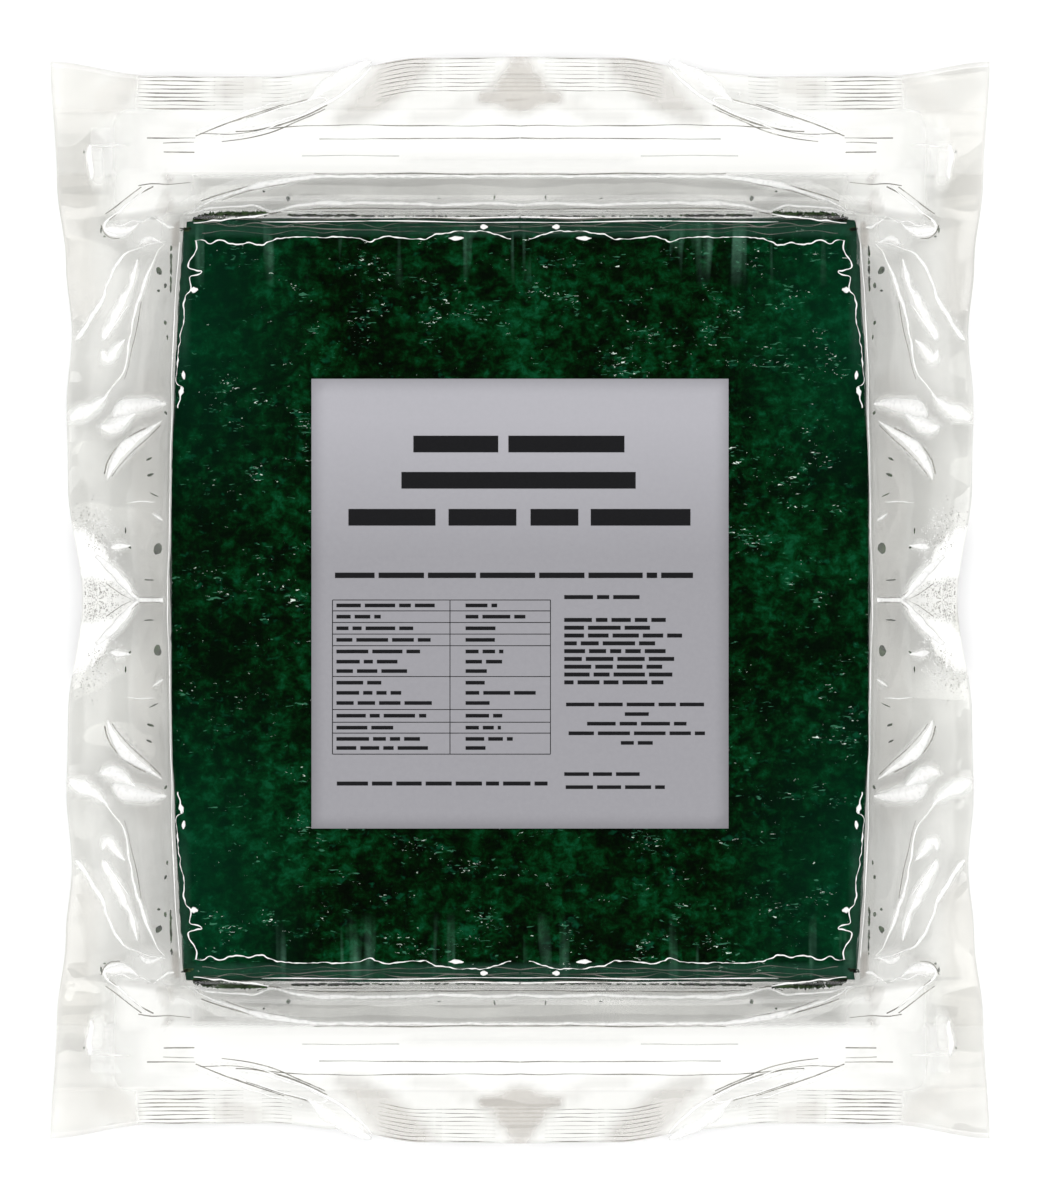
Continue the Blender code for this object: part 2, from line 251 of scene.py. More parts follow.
def makeNori():
    # pressed and dried laver: near-black green and satin, with pale flecks, and painted glints and painted
    # reflections of the film over it
    made, tree = newMaterial("noriPressedDried")
    coords = addNode(tree, "TexCoord")
    place = coords.outputs["Object"]
    split = addNode(tree, "SeparateXYZ", {0: place})
    cloud = addNode(tree, "TexNoise", {"Vector": place, "Scale": 48.0, "Detail": 2.0, "Roughness": 0.5})
    frondPlace = addNode(tree, "VectorMath", {0: place, 1: (300.0, 340.0, 300.0)}, operation="MULTIPLY")
    frond = addNode(tree, "TexNoise", {
        "Vector": frondPlace, "Scale": 1.0, "Detail": 5.0, "Roughness": 0.68, "Distortion": 0.3})
    blend = addNode(tree, "Mix", {"Factor": 0.7, "A": cloud, "B": frond}, data_type="FLOAT")
    tone = addNode(tree, "ValToRGB", {"Fac": blend})
    setTones(tone.color_ramp, [
        (0.40, "#000700"), (0.46, "#001201"), (0.51, "#002006"), (0.56, "#003010"), (0.65, "#084c2c")])
    # painted reflection of the film: the sheet is bluer and paler towards its two long sides
    across = addNode(tree, "Math", {0: split.outputs["X"]}, operation="ABSOLUTE")
    lengthwise = addNode(tree, "Math", {0: split.outputs["Y"]}, operation="ABSOLUTE")
    sideways = addNode(tree, "MapRange", {
        "Value": across, "From Min": 0.055, "From Max": 0.09, "To Min": 0.0, "To Max": 0.45})
    outward = addNode(tree, "MapRange", {
        "Value": lengthwise, "From Min": 0.02, "From Max": 0.07, "To Min": 0.1, "To Max": 1.0})
    paintedReflectionShare = addNode(tree, "Math", {0: sideways, 1: outward}, operation="MULTIPLY")
    tealPaintedReflection = addNode(tree, "Mix", {
        "Factor": paintedReflectionShare, "A": tone, "B": linear("#003c26")}, data_type="RGBA")
    # clusters of pale marks, up to 10 mm: fuzzy wisps, dashes 3 mm long and bright ticks of 1 mm, the ticks
    # painted glints.
    # For each kind: scale, detail, distortion, where it starts and is full, how strong it gets, its colour
    clusterPlace = addNode(tree, "VectorMath", {0: place, 1: (85.0, 150.0, 85.0)}, operation="MULTIPLY")
    cluster = addNode(tree, "TexNoise", {"Vector": clusterPlace, "Scale": 1.0, "Detail": 3.0})
    clusterShare = addNode(tree, "MapRange", {
        "Value": cluster, "From Min": 0.4, "From Max": 0.7, "To Min": -0.1, "To Max": 0.06})
    colour = tealPaintedReflection
    flecksAndGlints = [((420, 520, 400), 5.0, 0.3, (0.58, 0.74), 0.6, "#0a5638"),
             ((360, 1250, 600), 3.0, 0.6, (0.65, 0.69), 0.55, "#4f9474"),
             ((620, 1700, 900), 3.0, 0.9, (0.70, 0.725), 1.0, "#e6f6ec")]
    for scale, detail, bent, (start, end), most, tint in flecksAndGlints:
        markPlace = addNode(tree, "VectorMath", {0: place, 1: scale}, operation="MULTIPLY")
        mark = addNode(tree, "TexNoise", {
            "Vector": markPlace, "Scale": 1.0, "Detail": detail, "Distortion": bent})
        raised = addNode(tree, "Math", {0: mark, 1: clusterShare}, operation="ADD")
        share = addNode(tree, "MapRange", {
            "Value": raised, "From Min": start, "From Max": end, "To Max": most})
        colour = addNode(tree, "Mix", {
            "Factor": share, "A": colour, "B": linear(tint)}, data_type="RGBA")
    # painted glare of the film: pale streaks running in from the two short ends
    streakPlace = addNode(tree, "VectorMath", {0: place, 1: (210.0, 14.0, 10.0)}, operation="MULTIPLY")
    streak = addNode(tree, "TexNoise", {"Vector": streakPlace, "Scale": 1.0, "Detail": 2.0})
    nearEnd = addNode(tree, "MapRange", {
        "Value": lengthwise, "From Min": 0.086, "From Max": 0.099, "To Min": 0.0, "To Max": 1.0})
    paintedGlare = addNode(tree, "MapRange", {
        "Value": streak, "From Min": 0.6, "From Max": 0.72, "To Min": 0.0, "To Max": 0.95})
    paintedGlareNearEnd = addNode(tree, "Math", {0: paintedGlare, 1: nearEnd}, operation="MULTIPLY")
    paintedGlareGrain = addNode(tree, "Math", {0: paintedGlareNearEnd, 1: frond}, operation="MULTIPLY")
    withPaintedGlare = addNode(tree, "Mix", {
        "Factor": paintedGlareGrain, "A": colour, "B": linear("#5f8f7a")}, data_type="RGBA")
    # painted reflection of the film: paler where the sheet's rim bends down under it, at the ends and near
    # the corners
    rimEnd = addNode(tree, "MapRange", {
        "Value": lengthwise, "From Min": 0.0998, "From Max": 0.1012, "To Max": 0.55})
    rimSide = addNode(tree, "MapRange", {
        "Value": across, "From Min": 0.0905, "From Max": 0.0925, "To Max": 0.5})
    nearCorner = addNode(tree, "MapRange", {"Value": lengthwise, "From Min": 0.058, "From Max": 0.072})
    rimCorner = addNode(tree, "Math", {0: rimSide, 1: nearCorner}, operation="MULTIPLY")
    paintedRimReflectionShare = addNode(tree, "Math", {0: rimEnd, 1: rimCorner}, operation="MAXIMUM")
    withPaintedRimReflection = addNode(tree, "Mix", {
        "Factor": paintedRimReflectionShare, "A": withPaintedGlare, "B": linear("#1f4a3a")}, data_type="RGBA")
    bump = addNode(tree, "Bump", {"Height": frond, "Strength": 0.5, "Distance": 0.0005})
    shader = addNode(tree, "BsdfPrincipled", {
        "Base Color": withPaintedRimReflection, "Roughness": 0.5, "Specular IOR Level": 0.02, "Normal": bump})
    addNode(tree, "OutputMaterial", {"Surface": shader})
    return made


def makeFlake():
    # a loose flake of nori: thin, olive where light comes through it
    made, tree = newMaterial("noriFlakeDried")
    coords = addNode(tree, "TexCoord")
    blotch = addNode(tree, "TexNoise", {"Vector": coords.outputs["Object"], "Scale": 600.0, "Detail": 2.0})
    tone = addNode(tree, "ValToRGB", {"Fac": blotch})
    setTones(tone.color_ramp, [(0.35, "#0e160c"), (0.68, "#3a522c")])
    shader = addNode(tree, "BsdfPrincipled", {
        "Base Color": tone, "Roughness": 0.7, "Specular IOR Level": 0.1})
    addNode(tree, "OutputMaterial", {"Surface": shader})
    return made


def makePaper():
    # coated label paper: matt, pale grey with a lavender cast, and painted shade below its top quarter
    made, tree = newMaterial("labelPaperCoated")
    coords = addNode(tree, "TexCoord")
    split = addNode(tree, "SeparateXYZ", {0: coords.outputs["Object"]})
    grain = addNode(tree, "TexNoise", {"Vector": coords.outputs["Object"], "Scale": 900.0, "Detail": 3.0})
    sag = addNode(tree, "TexNoise", {"Vector": coords.outputs["Object"], "Scale": 22.0, "Detail": 1.0})
    # painted light and shade: the paper is lighter towards the label's top and darker below
    upper = addNode(tree, "MapRange", {
        "Value": split.outputs["Y"], "From Min": 0.012, "From Max": 0.05, "To Min": 0.0, "To Max": 1.0})
    mottled = addNode(tree, "Mix", {"Factor": 0.3, "A": grain, "B": sag}, data_type="FLOAT")
    low = addNode(tree, "Mix", {
        "Factor": mottled, "A": linear("#929196"), "B": linear("#9c9ba0")}, data_type="RGBA")
    high = addNode(tree, "Mix", {
        "Factor": mottled, "A": linear("#a9a8ae"), "B": linear("#b0afb5")}, data_type="RGBA")
    tone = addNode(tree, "Mix", {"Factor": upper, "A": low, "B": high}, data_type="RGBA")
    shader = addNode(tree, "BsdfPrincipled", {
        "Base Color": tone, "Roughness": 0.6, "Specular IOR Level": 0.2})
    addNode(tree, "OutputMaterial", {"Surface": shader})
    return made


def makeInk():
    # black thermal print on the label, a little shinier than the paper
    made, tree = newMaterial("labelInkPrinted")
    coords = addNode(tree, "TexCoord")
    grain = addNode(tree, "TexNoise", {"Vector": coords.outputs["Object"], "Scale": 2500.0})
    tone = addNode(tree, "ValToRGB", {"Fac": grain})
    setTones(tone.color_ramp, [(0.0, "#0a0a0c"), (1.0, "#17171a")])
    shader = addNode(tree, "BsdfPrincipled", {
        "Base Color": tone, "Roughness": 0.6, "Specular IOR Level": 0.1})
    addNode(tree, "OutputMaterial", {"Surface": shader})
    return made


film, paintedShadeFilm, lock = makeFilm(), makePaintedShadeLines(), makeLock()
paintedHighlightFilm = makePaintedHighlight("clearCastFilmPaintedHighlight", 0.35)
paintedSoftHighlightFilm = makePaintedHighlight("clearCastFilmPaintedSoftHighlight", 1.0)
nori, flake, paper, ink = makeNori(), makeFlake(), makePaper(), makeInk()
print("materials made")


# creases of the film, drawn in one quarter of the pouch and alike in all four
# A route's points are millimetres across and along from the middle, and half the width there of the painted
# highlight along the crest. rise is the fold's height in the film, and fade how far it dies away on the
# left and the right, going along the route.
creases = {
    "longLower": {"rise": 1.3, "fade": (1.4, 3.0), "route": [
        (98.6, 98.8, 0.12), (100.7, 97.0, 0.18), (103.1, 92.5, 0.45), (104.9, 87.8, 0.75),
        (106.8, 83.2, 0.6), (107.7, 80.4, 0.45), (108.7, 75.7, 0.35), (109.6, 71.5, 0.42),
        (110.5, 66.9, 0.34), (111.7, 63.1, 0.24), (114.3, 60.3, 0.24), (116.6, 57.5, 0.3),
        (119.0, 54.7, 0.5), (122.3, 53.0, 0.6), (125.1, 51.6, 0.2)]},
    "longLowerEnd": {"rise": 0.0, "fade": (1.0, 1.0), "soft": True, "route": [
        (115.8, 57.6, 0.3), (118.8, 55.0, 1.5), (122.0, 53.2, 2.3), (125.2, 52.0, 2.4),
        (127.2, 51.0, 1.0)]},
    "longUpper": {"rise": 0.9, "fade": (1.6, 2.8), "route": [
        (98.6, 99.3, 0.12), (102.6, 99.4, 0.15), (106.8, 98.4, 0.15), (110.2, 97.4, 0.3),
        (112.6, 95.0, 0.5), (114.4, 92.1, 0.45), (115.9, 88.9, 0.4), (117.0, 85.5, 0.45),
        (119.0, 82.2, 0.75), (121.8, 77.6, 0.65), (124.1, 74.3, 0.7), (125.5, 72.9, 0.2)]},
    "blade": {"rise": 0.5, "fade": (1.8, 2.2), "soft": True, "route": [
        (107.0, 95.3, 0.4), (107.9, 91.5, 1.1), (109.2, 87.6, 1.1), (111.0, 84.0, 1.9), (113.2, 80.2, 2.0),
        (115.4, 76.9, 1.6), (116.8, 74.3, 1.0), (117.4, 73.0, 0.3)]},
    "bladeEdge": {"rise": 0.0, "fade": (1.0, 1.0), "route": [
        (109.9, 82.6, 0.1), (113.0, 78.4, 0.22), (115.7, 75.0, 0.3), (117.2, 72.9, 0.15)]},
    "swirl": {"rise": 0.5, "fade": (1.6, 1.6), "soft": True, "route": [
        (110.8, 73.0, 0.3), (112.8, 71.0, 1.4), (115.0, 68.6, 1.9), (116.6, 68.0, 1.5),
        (117.6, 70.4, 0.4)]},
    "fanUpper": {"rise": 0.8, "fade": (1.6, 2.4), "soft": True, "route": [
        (97.8, 54.2, 0.3), (100.4, 54.4, 1.3), (103.4, 54.4, 2.1), (106.4, 54.3, 2.9), (109.4, 53.8, 3.3),
        (112.2, 52.8, 2.6), (114.6, 51.8, 0.6)]},
    "fanTip": {"rise": 0.0, "fade": (1.0, 1.0), "route": [
        (98.4, 54.4, 0.1), (100.4, 54.9, 0.6), (103.2, 55.1, 1.1), (106.0, 55.2, 1.2), (108.8, 55.6, 0.3)]},
    "fanLower": {"rise": 0.5, "fade": (1.6, 2.0), "soft": True, "route": [
        (107.8, 51.9, 0.5), (110.4, 50.4, 1.5), (113.0, 49.2, 2.5), (115.6, 48.6, 2.3),
        (118.2, 49.0, 0.6)]},
    "leaf": {"rise": 0.9, "fade": (1.4, 2.0), "route": [
        (99.0, 49.7, 0.12), (102.0, 47.9, 0.6), (105.4, 45.9, 1.3), (109.0, 43.4, 1.9), (112.0, 40.7, 2.0),
        (114.2, 38.0, 1.5), (115.4, 35.8, 0.9), (116.0, 34.0, 0.15)]},
    "faint": {"rise": 0.15, "fade": (1.2, 1.2), "route": [
        (110.5, 27.4, 0.08), (105.0, 27.5, 0.22), (101.0, 27.3, 0.1)]},
    "fleckOuter": {"rise": 0.2, "fade": (1.2, 1.2), "route": [
        (109.2, 15.5, 0.15), (111.2, 15.3, 0.8), (113.2, 15.1, 1.0), (115.2, 14.8, 0.2)]},
    "fleckInner": {"rise": 0.15, "fade": (1.0, 1.0), "route": [
        (98.6, 22.0, 0.15), (100.2, 23.0, 0.55), (102.4, 24.2, 0.1)]},
    "pinchRidge": {"rise": 1.2, "fade": (1.5, 2.4), "route": [
        (119.4, 12.4, 0.5), (116.0, 9.6, 1.4), (113.0, 6.8, 1.6), (110.8, 4.6, 1.3), (108.8, 2.5, 0.9),
        (107.4, 0.9, 0.55), (106.6, 0.2, 0.5)]},
    "pinchBar": {"rise": 0.8, "fade": (1.2, 1.2), "route": [
        (108.0, 0.0, 0.3), (106.8, 0.0, 0.6), (103.0, 0.0, 0.62), (98.8, 0.0, 0.55)]},
    "cornerFold": {"rise": 1.1, "fade": (1.2, 2.4), "route": [
        (103.9, 116.2, 0.1), (106.0, 114.9, 0.2), (109.2, 112.2, 0.25), (112.6, 109.6, 0.28),
        (115.6, 107.4, 0.35), (117.0, 105.6, 0.4), (116.7, 103.8, 0.5), (115.2, 102.7, 0.6),
        (113.2, 102.5, 0.7), (110.8, 103.0, 0.6), (108.6, 104.4, 0.2)]},
    "cornerCurl": {"rise": 0.5, "fade": (1.0, 1.0), "route": [
        (114.0, 105.8, 0.15), (111.6, 105.3, 0.3), (108.7, 106.0, 0.2), (105.6, 105.7, 0.2),
        (103.0, 106.6, 0.15)]},
    "curlHighlight": {"rise": 0.0, "fade": (1.0, 1.0), "soft": True, "route": [
        (117.2, 104.6, 0.3), (114.6, 104.0, 1.4), (111.6, 103.6, 1.5), (108.2, 104.4, 0.7),
        (106.6, 105.4, 0.2)]},
    "dome": {"rise": 0.5, "fade": (1.2, 1.2), "soft": True, "route": [
        (106.4, 99.6, 0.4), (104.8, 100.6, 1.2), (103.2, 100.9, 1.3), (101.2, 100.2, 0.8),
        (99.4, 99.3, 0.2)]},
    "shoulder": {"rise": 0.5, "fade": (1.0, 1.0), "route": [
        (102.4, 107.0, 0.15), (100.6, 105.7, 0.4), (98.8, 104.6, 0.5), (97.2, 103.4, 0.55),
        (95.6, 103.0, 0.2)]},
    "shoulderEnd": {"rise": 0.3, "fade": (1.0, 1.0), "route": [
        (91.4, 111.2, 0.1), (91.6, 109.4, 0.2), (92.4, 107.6, 0.25), (92.9, 106.0, 0.1)]},
    "lockEndTop": {"rise": 0.0, "fade": (1.0, 1.0), "route": [
        (121.4, 128.2, 0.1), (116.0, 128.0, 0.16), (110.0, 128.1, 0.08)]},
    "lockEndSide": {"rise": 0.0, "fade": (1.0, 1.0), "soft": True, "route": [
        (121.2, 128.2, 0.6), (121.4, 125.5, 1.0), (121.0, 122.0, 0.9), (120.8, 118.4, 0.5)]},
    "sealLeafEdge": {"rise": 0.35, "fade": (1.0, 1.2), "route": [
        (91.0, 131.9, 0.1), (86.0, 134.2, 0.22), (80.6, 136.3, 0.2), (74.8, 138.4, 0.16),
        (68.2, 140.4, 0.14), (65.6, 141.0, 0.08)]},
    "sealLeaf": {"rise": 0.35, "fade": (1.1, 1.8), "route": [
        (79.2, 133.6, 0.08), (75.6, 135.6, 0.22), (69.6, 138.0, 0.26), (63.0, 140.0, 0.18),
        (57.4, 141.6, 0.24), (54.6, 141.6, 0.34), (55.4, 140.2, 0.3), (59.0, 138.0, 0.26),
        (64.8, 135.8, 0.24), (71.4, 134.0, 0.24), (77.4, 132.8, 0.2), (82.4, 131.6, 0.12),
        (87.0, 130.6, 0.08)]},
    "sealFan": {"rise": 0.4, "fade": (1.2, 2.4), "route": [
        (86.0, 129.9, 0.08), (77.0, 131.0, 0.2), (69.0, 133.4, 0.3), (61.6, 136.6, 0.36),
        (54.6, 140.0, 0.42), (49.4, 143.4, 0.5), (45.4, 146.8, 0.45), (42.0, 150.6, 0.2)]},
    "sealFanHighlight": {"rise": 0.0, "fade": (1.0, 1.0), "soft": True, "route": [
        (60.0, 140.6, 0.6), (55.6, 144.4, 1.8), (50.4, 147.8, 2.2), (45.6, 150.2, 1.6),
        (42.0, 152.0, 0.4)]},
    "footLine": {"rise": 0.0, "fade": (1.0, 1.0), "route": [
        (-1.0, 119.1, 0.3), (20.0, 119.2, 0.36), (40.0, 119.1, 0.4), (57.0, 119.0, 0.5), (66.0, 117.9, 0.8),
        (72.0, 116.9, 0.7), (77.0, 115.6, 0.3)]},
    "drape": {"rise": 0.5, "fade": (1.0, 1.3), "route": [
        (57.0, 119.2, 0.2), (66.0, 117.6, 0.6), (73.4, 116.4, 0.9), (80.6, 114.4, 0.45),
        (86.0, 112.6, 0.35), (90.2, 110.6, 0.35), (91.2, 108.8, 0.3), (91.8, 106.6, 0.12)]},
    "footInner": {"rise": 0.3, "fade": (0.8, 0.9), "route": [
        (-1.0, 111.0, 0.62), (12.0, 111.4, 0.5), (22.0, 110.9, 0.75), (33.0, 111.4, 0.5),
        (46.0, 111.6, 0.6), (54.0, 111.4, 0.8), (60.0, 111.0, 0.7), (64.6, 110.2, 0.6),
        (67.4, 108.7, 0.45), (70.6, 107.0, 0.35)]},
    "footOuter": {"rise": 0.3, "fade": (0.8, 0.9), "route": [
        (67.6, 108.2, 0.2), (70.2, 108.8, 0.3), (72.6, 110.2, 0.45), (74.8, 110.9, 0.4),
        (78.4, 110.6, 0.35), (83.0, 110.4, 0.4), (87.0, 109.9, 0.5), (89.6, 108.6, 0.4),
        (91.2, 106.8, 0.15)]},
}
# height of a fold whose rise is 1, its reach for each millimetre of its fade, and its crest's radius
relief = {"height": 0.55, "reach": 5, "round": 0.25}


def smoothRoute(route, steps=8):
    # a Catmull-Rom curve through the route's points
    points = [2 * Vector(route[0]) - Vector(route[1])] + [Vector(p) for p in route]
    points.append(2 * points[-1] - points[-2])
    out = []
    for a, b, c, d in zip(points, points[1:], points[2:], points[3:]):
        for i in range(steps):
            t = i / steps
            out.append(0.5 * (2 * b + (c - a) * t + (2 * a - 5 * b + 4 * c - d) * t ** 2
                              + (3 * b - a - 3 * c + d) * t ** 3))
    out.append(points[-2])
    return np.array([tuple(p) for p in out])


for fold in creases.values():
    fold["line"] = smoothRoute(fold["route"], 4)


def routeDistance(u, v, line, reach):
    # which points are near the route, how far off, on which side, how far along it, its half width there
    near = ((u > line[:, 0].min() - reach) & (u < line[:, 0].max() + reach)
            & (v > line[:, 1].min() - reach) & (v < line[:, 1].max() + reach))
    px, py = u[near], v[near]
    steps = line[1:, :2] - line[:-1, :2]
    lengths = np.hypot(steps[:, 0], steps[:, 1])
    starts = np.concatenate([[0], np.cumsum(lengths)])
    best, side = np.full(px.shape, 1e9), np.ones(px.shape)
    at, half = np.zeros(px.shape), np.zeros(px.shape)
    for i, (start, step) in enumerate(zip(line[:-1], steps)):
        dx, dy = px - start[0], py - start[1]
        t = np.clip((dx * step[0] + dy * step[1]) / (lengths[i] ** 2), 0, 1)
        far = np.hypot(dx - t * step[0], dy - t * step[1])
        closer = far < best
        best = np.where(closer, far, best)
        side = np.where(closer, np.sign(step[0] * dy - step[1] * dx), side)
        at = np.where(closer, (starts[i] + t * lengths[i]) / starts[-1], at)
        half = np.where(closer, line[i, 2] + t * (line[i + 1, 2] - line[i, 2]), half)
    return near, best, side, at, half


def foldHeight(u, v, fold):
    height = np.zeros_like(u)
    if fold["rise"]:
        near, far, side, at, half = routeDistance(u, v, fold["line"], relief["reach"] * max(fold["fade"]))
        taper = 0.15 + 0.85 * ease(np.minimum(at, 1 - at) / 0.25)
        rounded = np.sqrt(far ** 2 + relief["round"] ** 2) - relief["round"]
        fall = np.exp(-rounded / np.where(side > 0, *fold["fade"]))
        height[near] = relief["height"] * fold["rise"] * fall * taper
    return height


def foldPaintedHighlight(u, v, fold):
    # a soft painted highlight round the wider crests
    haze = np.zeros_like(u)
    near, far, side, at, half = routeDistance(u, v, fold["line"], 6)
    wide = np.clip(half / 1.2, 0, 1)
    haze[near] = hazeAndPaintedLight["crest"] * wide * (1 - ease((far - half * 0.8) / (0.5 + 1.1 * wide)))
    return haze


# broad swells of the film: middle, spread across and along, and height
swells = [
    ((0, 147), (34, 9), 0.25), ((27, 136.5), (8, 3), -0.35), ((44, 146), (9, 6), 0.45),
    ((66, 145), (10, 7), -0.3), ((122, 130), (9, 14), 0.5), ((118, 147), (9, 5), -0.4),
    ((88, 128), (12, 5), 0.15),
]


def swellHeight(u, v):
    height = np.zeros_like(u)
    for (u0, v0), (wide, deep), rise in swells:
        height += rise * np.exp(-((u - u0) / wide) ** 2 - ((v - v0) / deep) ** 2)
    return height


def crumple(x, y, scale, seed):
    # sharp crests where a smooth noise passes through nothing
    out = np.empty(len(x))
    for i, (px, py) in enumerate(zip(x / scale, y / scale)):
        out[i] = 1 - abs(noise.noise(Vector((px, py, seed)))) * 2
    return out


# waves of the flange at its ends and sides: height, scale, and the height that they stand on
waves = {"end": (0.9, 19, -1.1), "side": (0.8, 12, 0.6)}
# where the level strip, the press-lock's zone and the seal start along the pouch
zones = {"strip": 106.2, "lock": 119.4, "seal": 136}
# crumples of the two films, coarse and fine: scale, seed and strength
crumples = {"front": [(26.0, 3.1, 0.6), (10.0, 7.7, 0.12)], "back": [(28.0, 21.3, 0.7), (11.0, 27.9, 0.12)]}


def crumpled(x, y, which):
    return sum(crumple(x, y, scale, seed) * strength for scale, seed, strength in crumples[which])


def flangeHeight(u, v):
    end, side = [rise * np.cos(at / scale) + base
                 for at, (rise, scale, base) in ((u, waves["end"]), (v, waves["side"]))]
    pastLock = rising(v, pouch["lockOuter"], 18)
    pastSheets = rising(u, reachX(v), 30) * (1 - rising(v, 95, 20))
    return pouch["lockHeight"] + end * pastLock + side * pastSheets


def baseShares(u, v):
    side = np.clip((u - reachX(v)) / (along(pouch["halfWidths"], v) - reachX(v)), 0, 1)
    end = np.clip((v - reachY) / (pouch["lockInner"] - reachY), 0, 1)
    return side, end


# the heat seal's ribs run along the pouch's edge, this far apart
ribs = {"pitch": 1.13, "count": 9, "first": 0.4, "half": 0.14, "relief": 0.03,
        "runs": [(108.2, 86, 1.0), (87, 78, 0.5), (73, 64.5, 0.6), (41, 22, 0.6), (24, 7, 0.6)]}

endProfile = {
    # the front film beyond the stack's end: a steep drop, a level strip, then a gentle fall over the lock
    "across": [106.25, 107.2, 108.4, 109.6, 110.8, 112.5, 119.3, 133.6, 137.4, 141.0],
    "height": [29.0, 24.5, 16.0, 10.4, 8.2, 7.8, 7.9, 6.7, 5.5, 5.3],
}


def frontHeight(x, y):
    u, v = np.abs(x), np.abs(y)
    side = baseShares(u, v)[0]
    top = stackTop + pouch["gap"]
    seam = flangeHeight(u, v) + pouch["halfSeam"]
    ends = np.interp(v, endProfile["across"], endProfile["height"])
    end = np.where(v > endProfile["across"][0], ends, top)
    end += (seam - end) * rising(v, zones["seal"], 5)
    low = seam + (np.interp(v, endProfile["across"][4:], endProfile["height"][4:]) - seam) * (
        rising(v, 108, 4) * (1 - rising(v, zones["seal"], 5)) * (1 - rising(u, 104, 16)))
    height = low + (end - low) * (1 - side) ** 2.5
    outside = ease(np.maximum((u - reachX(v)) / 3, (v - reachY) / 2.5))
    for fold in creases.values():
        height += foldHeight(u, v, fold) * outside
    height += swellHeight(u, v)
    edge = along(pouch["halfLengths"], u)
    depth = edge - 0.3 - v
    seal = ease((11.4 - depth) / 2) * (1 - rising(u, 107, 3))
    height += ribs["relief"] * np.cos(depth * 2 * math.pi / ribs["pitch"]) * seal * (depth > 0)
    lockZone = rising(v, 109, 3) * (1 - rising(v, 132, 4)) * (1 - rising(u, 96, 12))
    corner = rising(u, 100, 10) * rising(v, 105, 10)
    rough = (crumpled(x, y, "front") - 0.4) * outside
    for taut in (0.92 * lockZone, 0.75 * seal, 0.5 * corner):
        rough *= 1 - taut
    return height + rough


# how white the front film's zones are, from 0 for clear to 1 for white, partly haze and partly painted
# light
hazeAndPaintedLight = {
    "strip": 0.02, "lock": 0.9, "seal": 0.55, "flange": 0.015, "steepEnd": 0.02, "steepSide": 0.01,
    "endRim": 0.002, "sideRim": 0.003, "crest": 0.34,
}
# patches of white in the front film, painted highlight with some haze: middle, spread across and along, and
# strength
hazeAndHighlightPatches = [
    ((113, 78), (9, 24), 0.16), ((99, 121), (9, 12), 0.35), ((80, 126), (14, 8), 0.3),
    ((104, 104), (7, 7), 0.3), ((106, 114), (8, 9), 0.7), ((116, 140), (5, 6), 0.15),
    ((76, 137), (26, 2.6), 0.6), ((119, 122), (2, 6), 0.4),
]
# clearer patches, the same way, by the share of white that they lose
clearings = [
    ((60, 142.6), (8, 2.6), 0.6), ((66, 136.4), (7, 1.6), 0.5), ((95, 131.6), (6, 2.4), 0.45),
    ((96, 127.2), (3, 1.4), 0.3), ((30, 121), (50, 0.9), 0.15),
]


# the pinch at mid length, a painted highlight between two lines: across and along
pinch = {
    "start": 107, "frost": 0.6,
    "outer": [
        (107, 0.8), (109, 2.2), (112, 5.2), (115, 8.4), (116.6, 13.0), (118, 16.0), (121, 18.2),
        (126, 21.0), (131, 24.0)],
    "inner": [(107, 0.2), (109, 0.6), (112, 3.0), (115, 5.4), (124, 6.8), (131, 7.0)],
}


def pinchPaintedHighlight(u, v):
    # painted highlight between the two lines, frosted inside the inner one
    outer, inner = [np.interp(u, *zip(*pinch[line])) for line in ("outer", "inner")]
    wander = (np.sin(u * 1.9) * 0.5 + np.sin(u * 4.3 + v * 2.1) * 0.4) * rising(u, 113, 4)
    frosted = pinch["frost"] * rising(u, pinch["start"], 3)
    between = frosted + (1 - frosted) * ease((v - inner) / 1.2 + 0.5)
    return ease((outer + wander - v) / 1.4 + 0.5) * between * (u > pinch["start"])


# painted shade and painted reflection of the dark room above, greying the film and thinning its white: how
# grey, how soft its edge is, and a route as the creases have it
paintedShades = [
    (0.65, 4.5, [(0, 152.4, 3.0), (0, 147.4, 6.5), (0, 145.0, 8.5)]),
    (0.65, 3.0, [(-10, 141.6, 2.2), (10, 141.6, 2.2)]),
    (0.5, 4.5, [(30.5, 153.4, 7.0), (36.0, 147.0, 6.0), (41.0, 142.0, 5.2), (46.0, 137.6, 4.0),
                (51.0, 135.4, 2.0)]),
    (0.4, 3.5, [(75.0, 145.6, 3.0), (83.0, 144.4, 3.4)]),
    (0.25, 3.0, [(15.0, 139.6, 2.6), (19.0, 136.4, 2.0), (30.0, 136.0, 1.8)]),
    (0.35, 1.2, [(99.8, 119.4, 1.0), (98.8, 118.2, 1.2)]),
    (0.3, 1.2, [(99.8, 114.0, 1.3), (99.8, 110.6, 2.8)]),
    (0.16, 6.0, [(124, 149.0, 6.0), (125, 126.0, 6.0), (126, 100.0, 6.0), (123, 84.0, 5.0)]),
    (0.24, 4.0, [(110, 146.0, 3.0), (116, 141.0, 5.0)]),
    (0.02, 1.2, [(0, 115.4, 3.6), (60, 115.2, 3.4), (80, 111.6, 1.6)]),
    (0.6, 0.8, [(94.6, 103.2, 1.3), (95.2, 98.4, 1.1)]),
    (0.13, 4.0, [(103, 60.0, 4.0), (104, 30.0, 5.0), (102, 0.0, 4.0)]),
]


def paintedShadeAt(x, y):
    u, v = np.abs(x), np.abs(y)
    paintedShade = np.zeros_like(u)
    for amount, soft, route in paintedShades:
        near, far, side, at, half = routeDistance(u, v, np.array(route, dtype=float), 12)
        paintedShade[near] = np.maximum(paintedShade[near], amount * ease((half - far) / soft + 0.5))
    return paintedShade * ease(np.maximum(u - reachX(v), v - reachY) + 0.5)


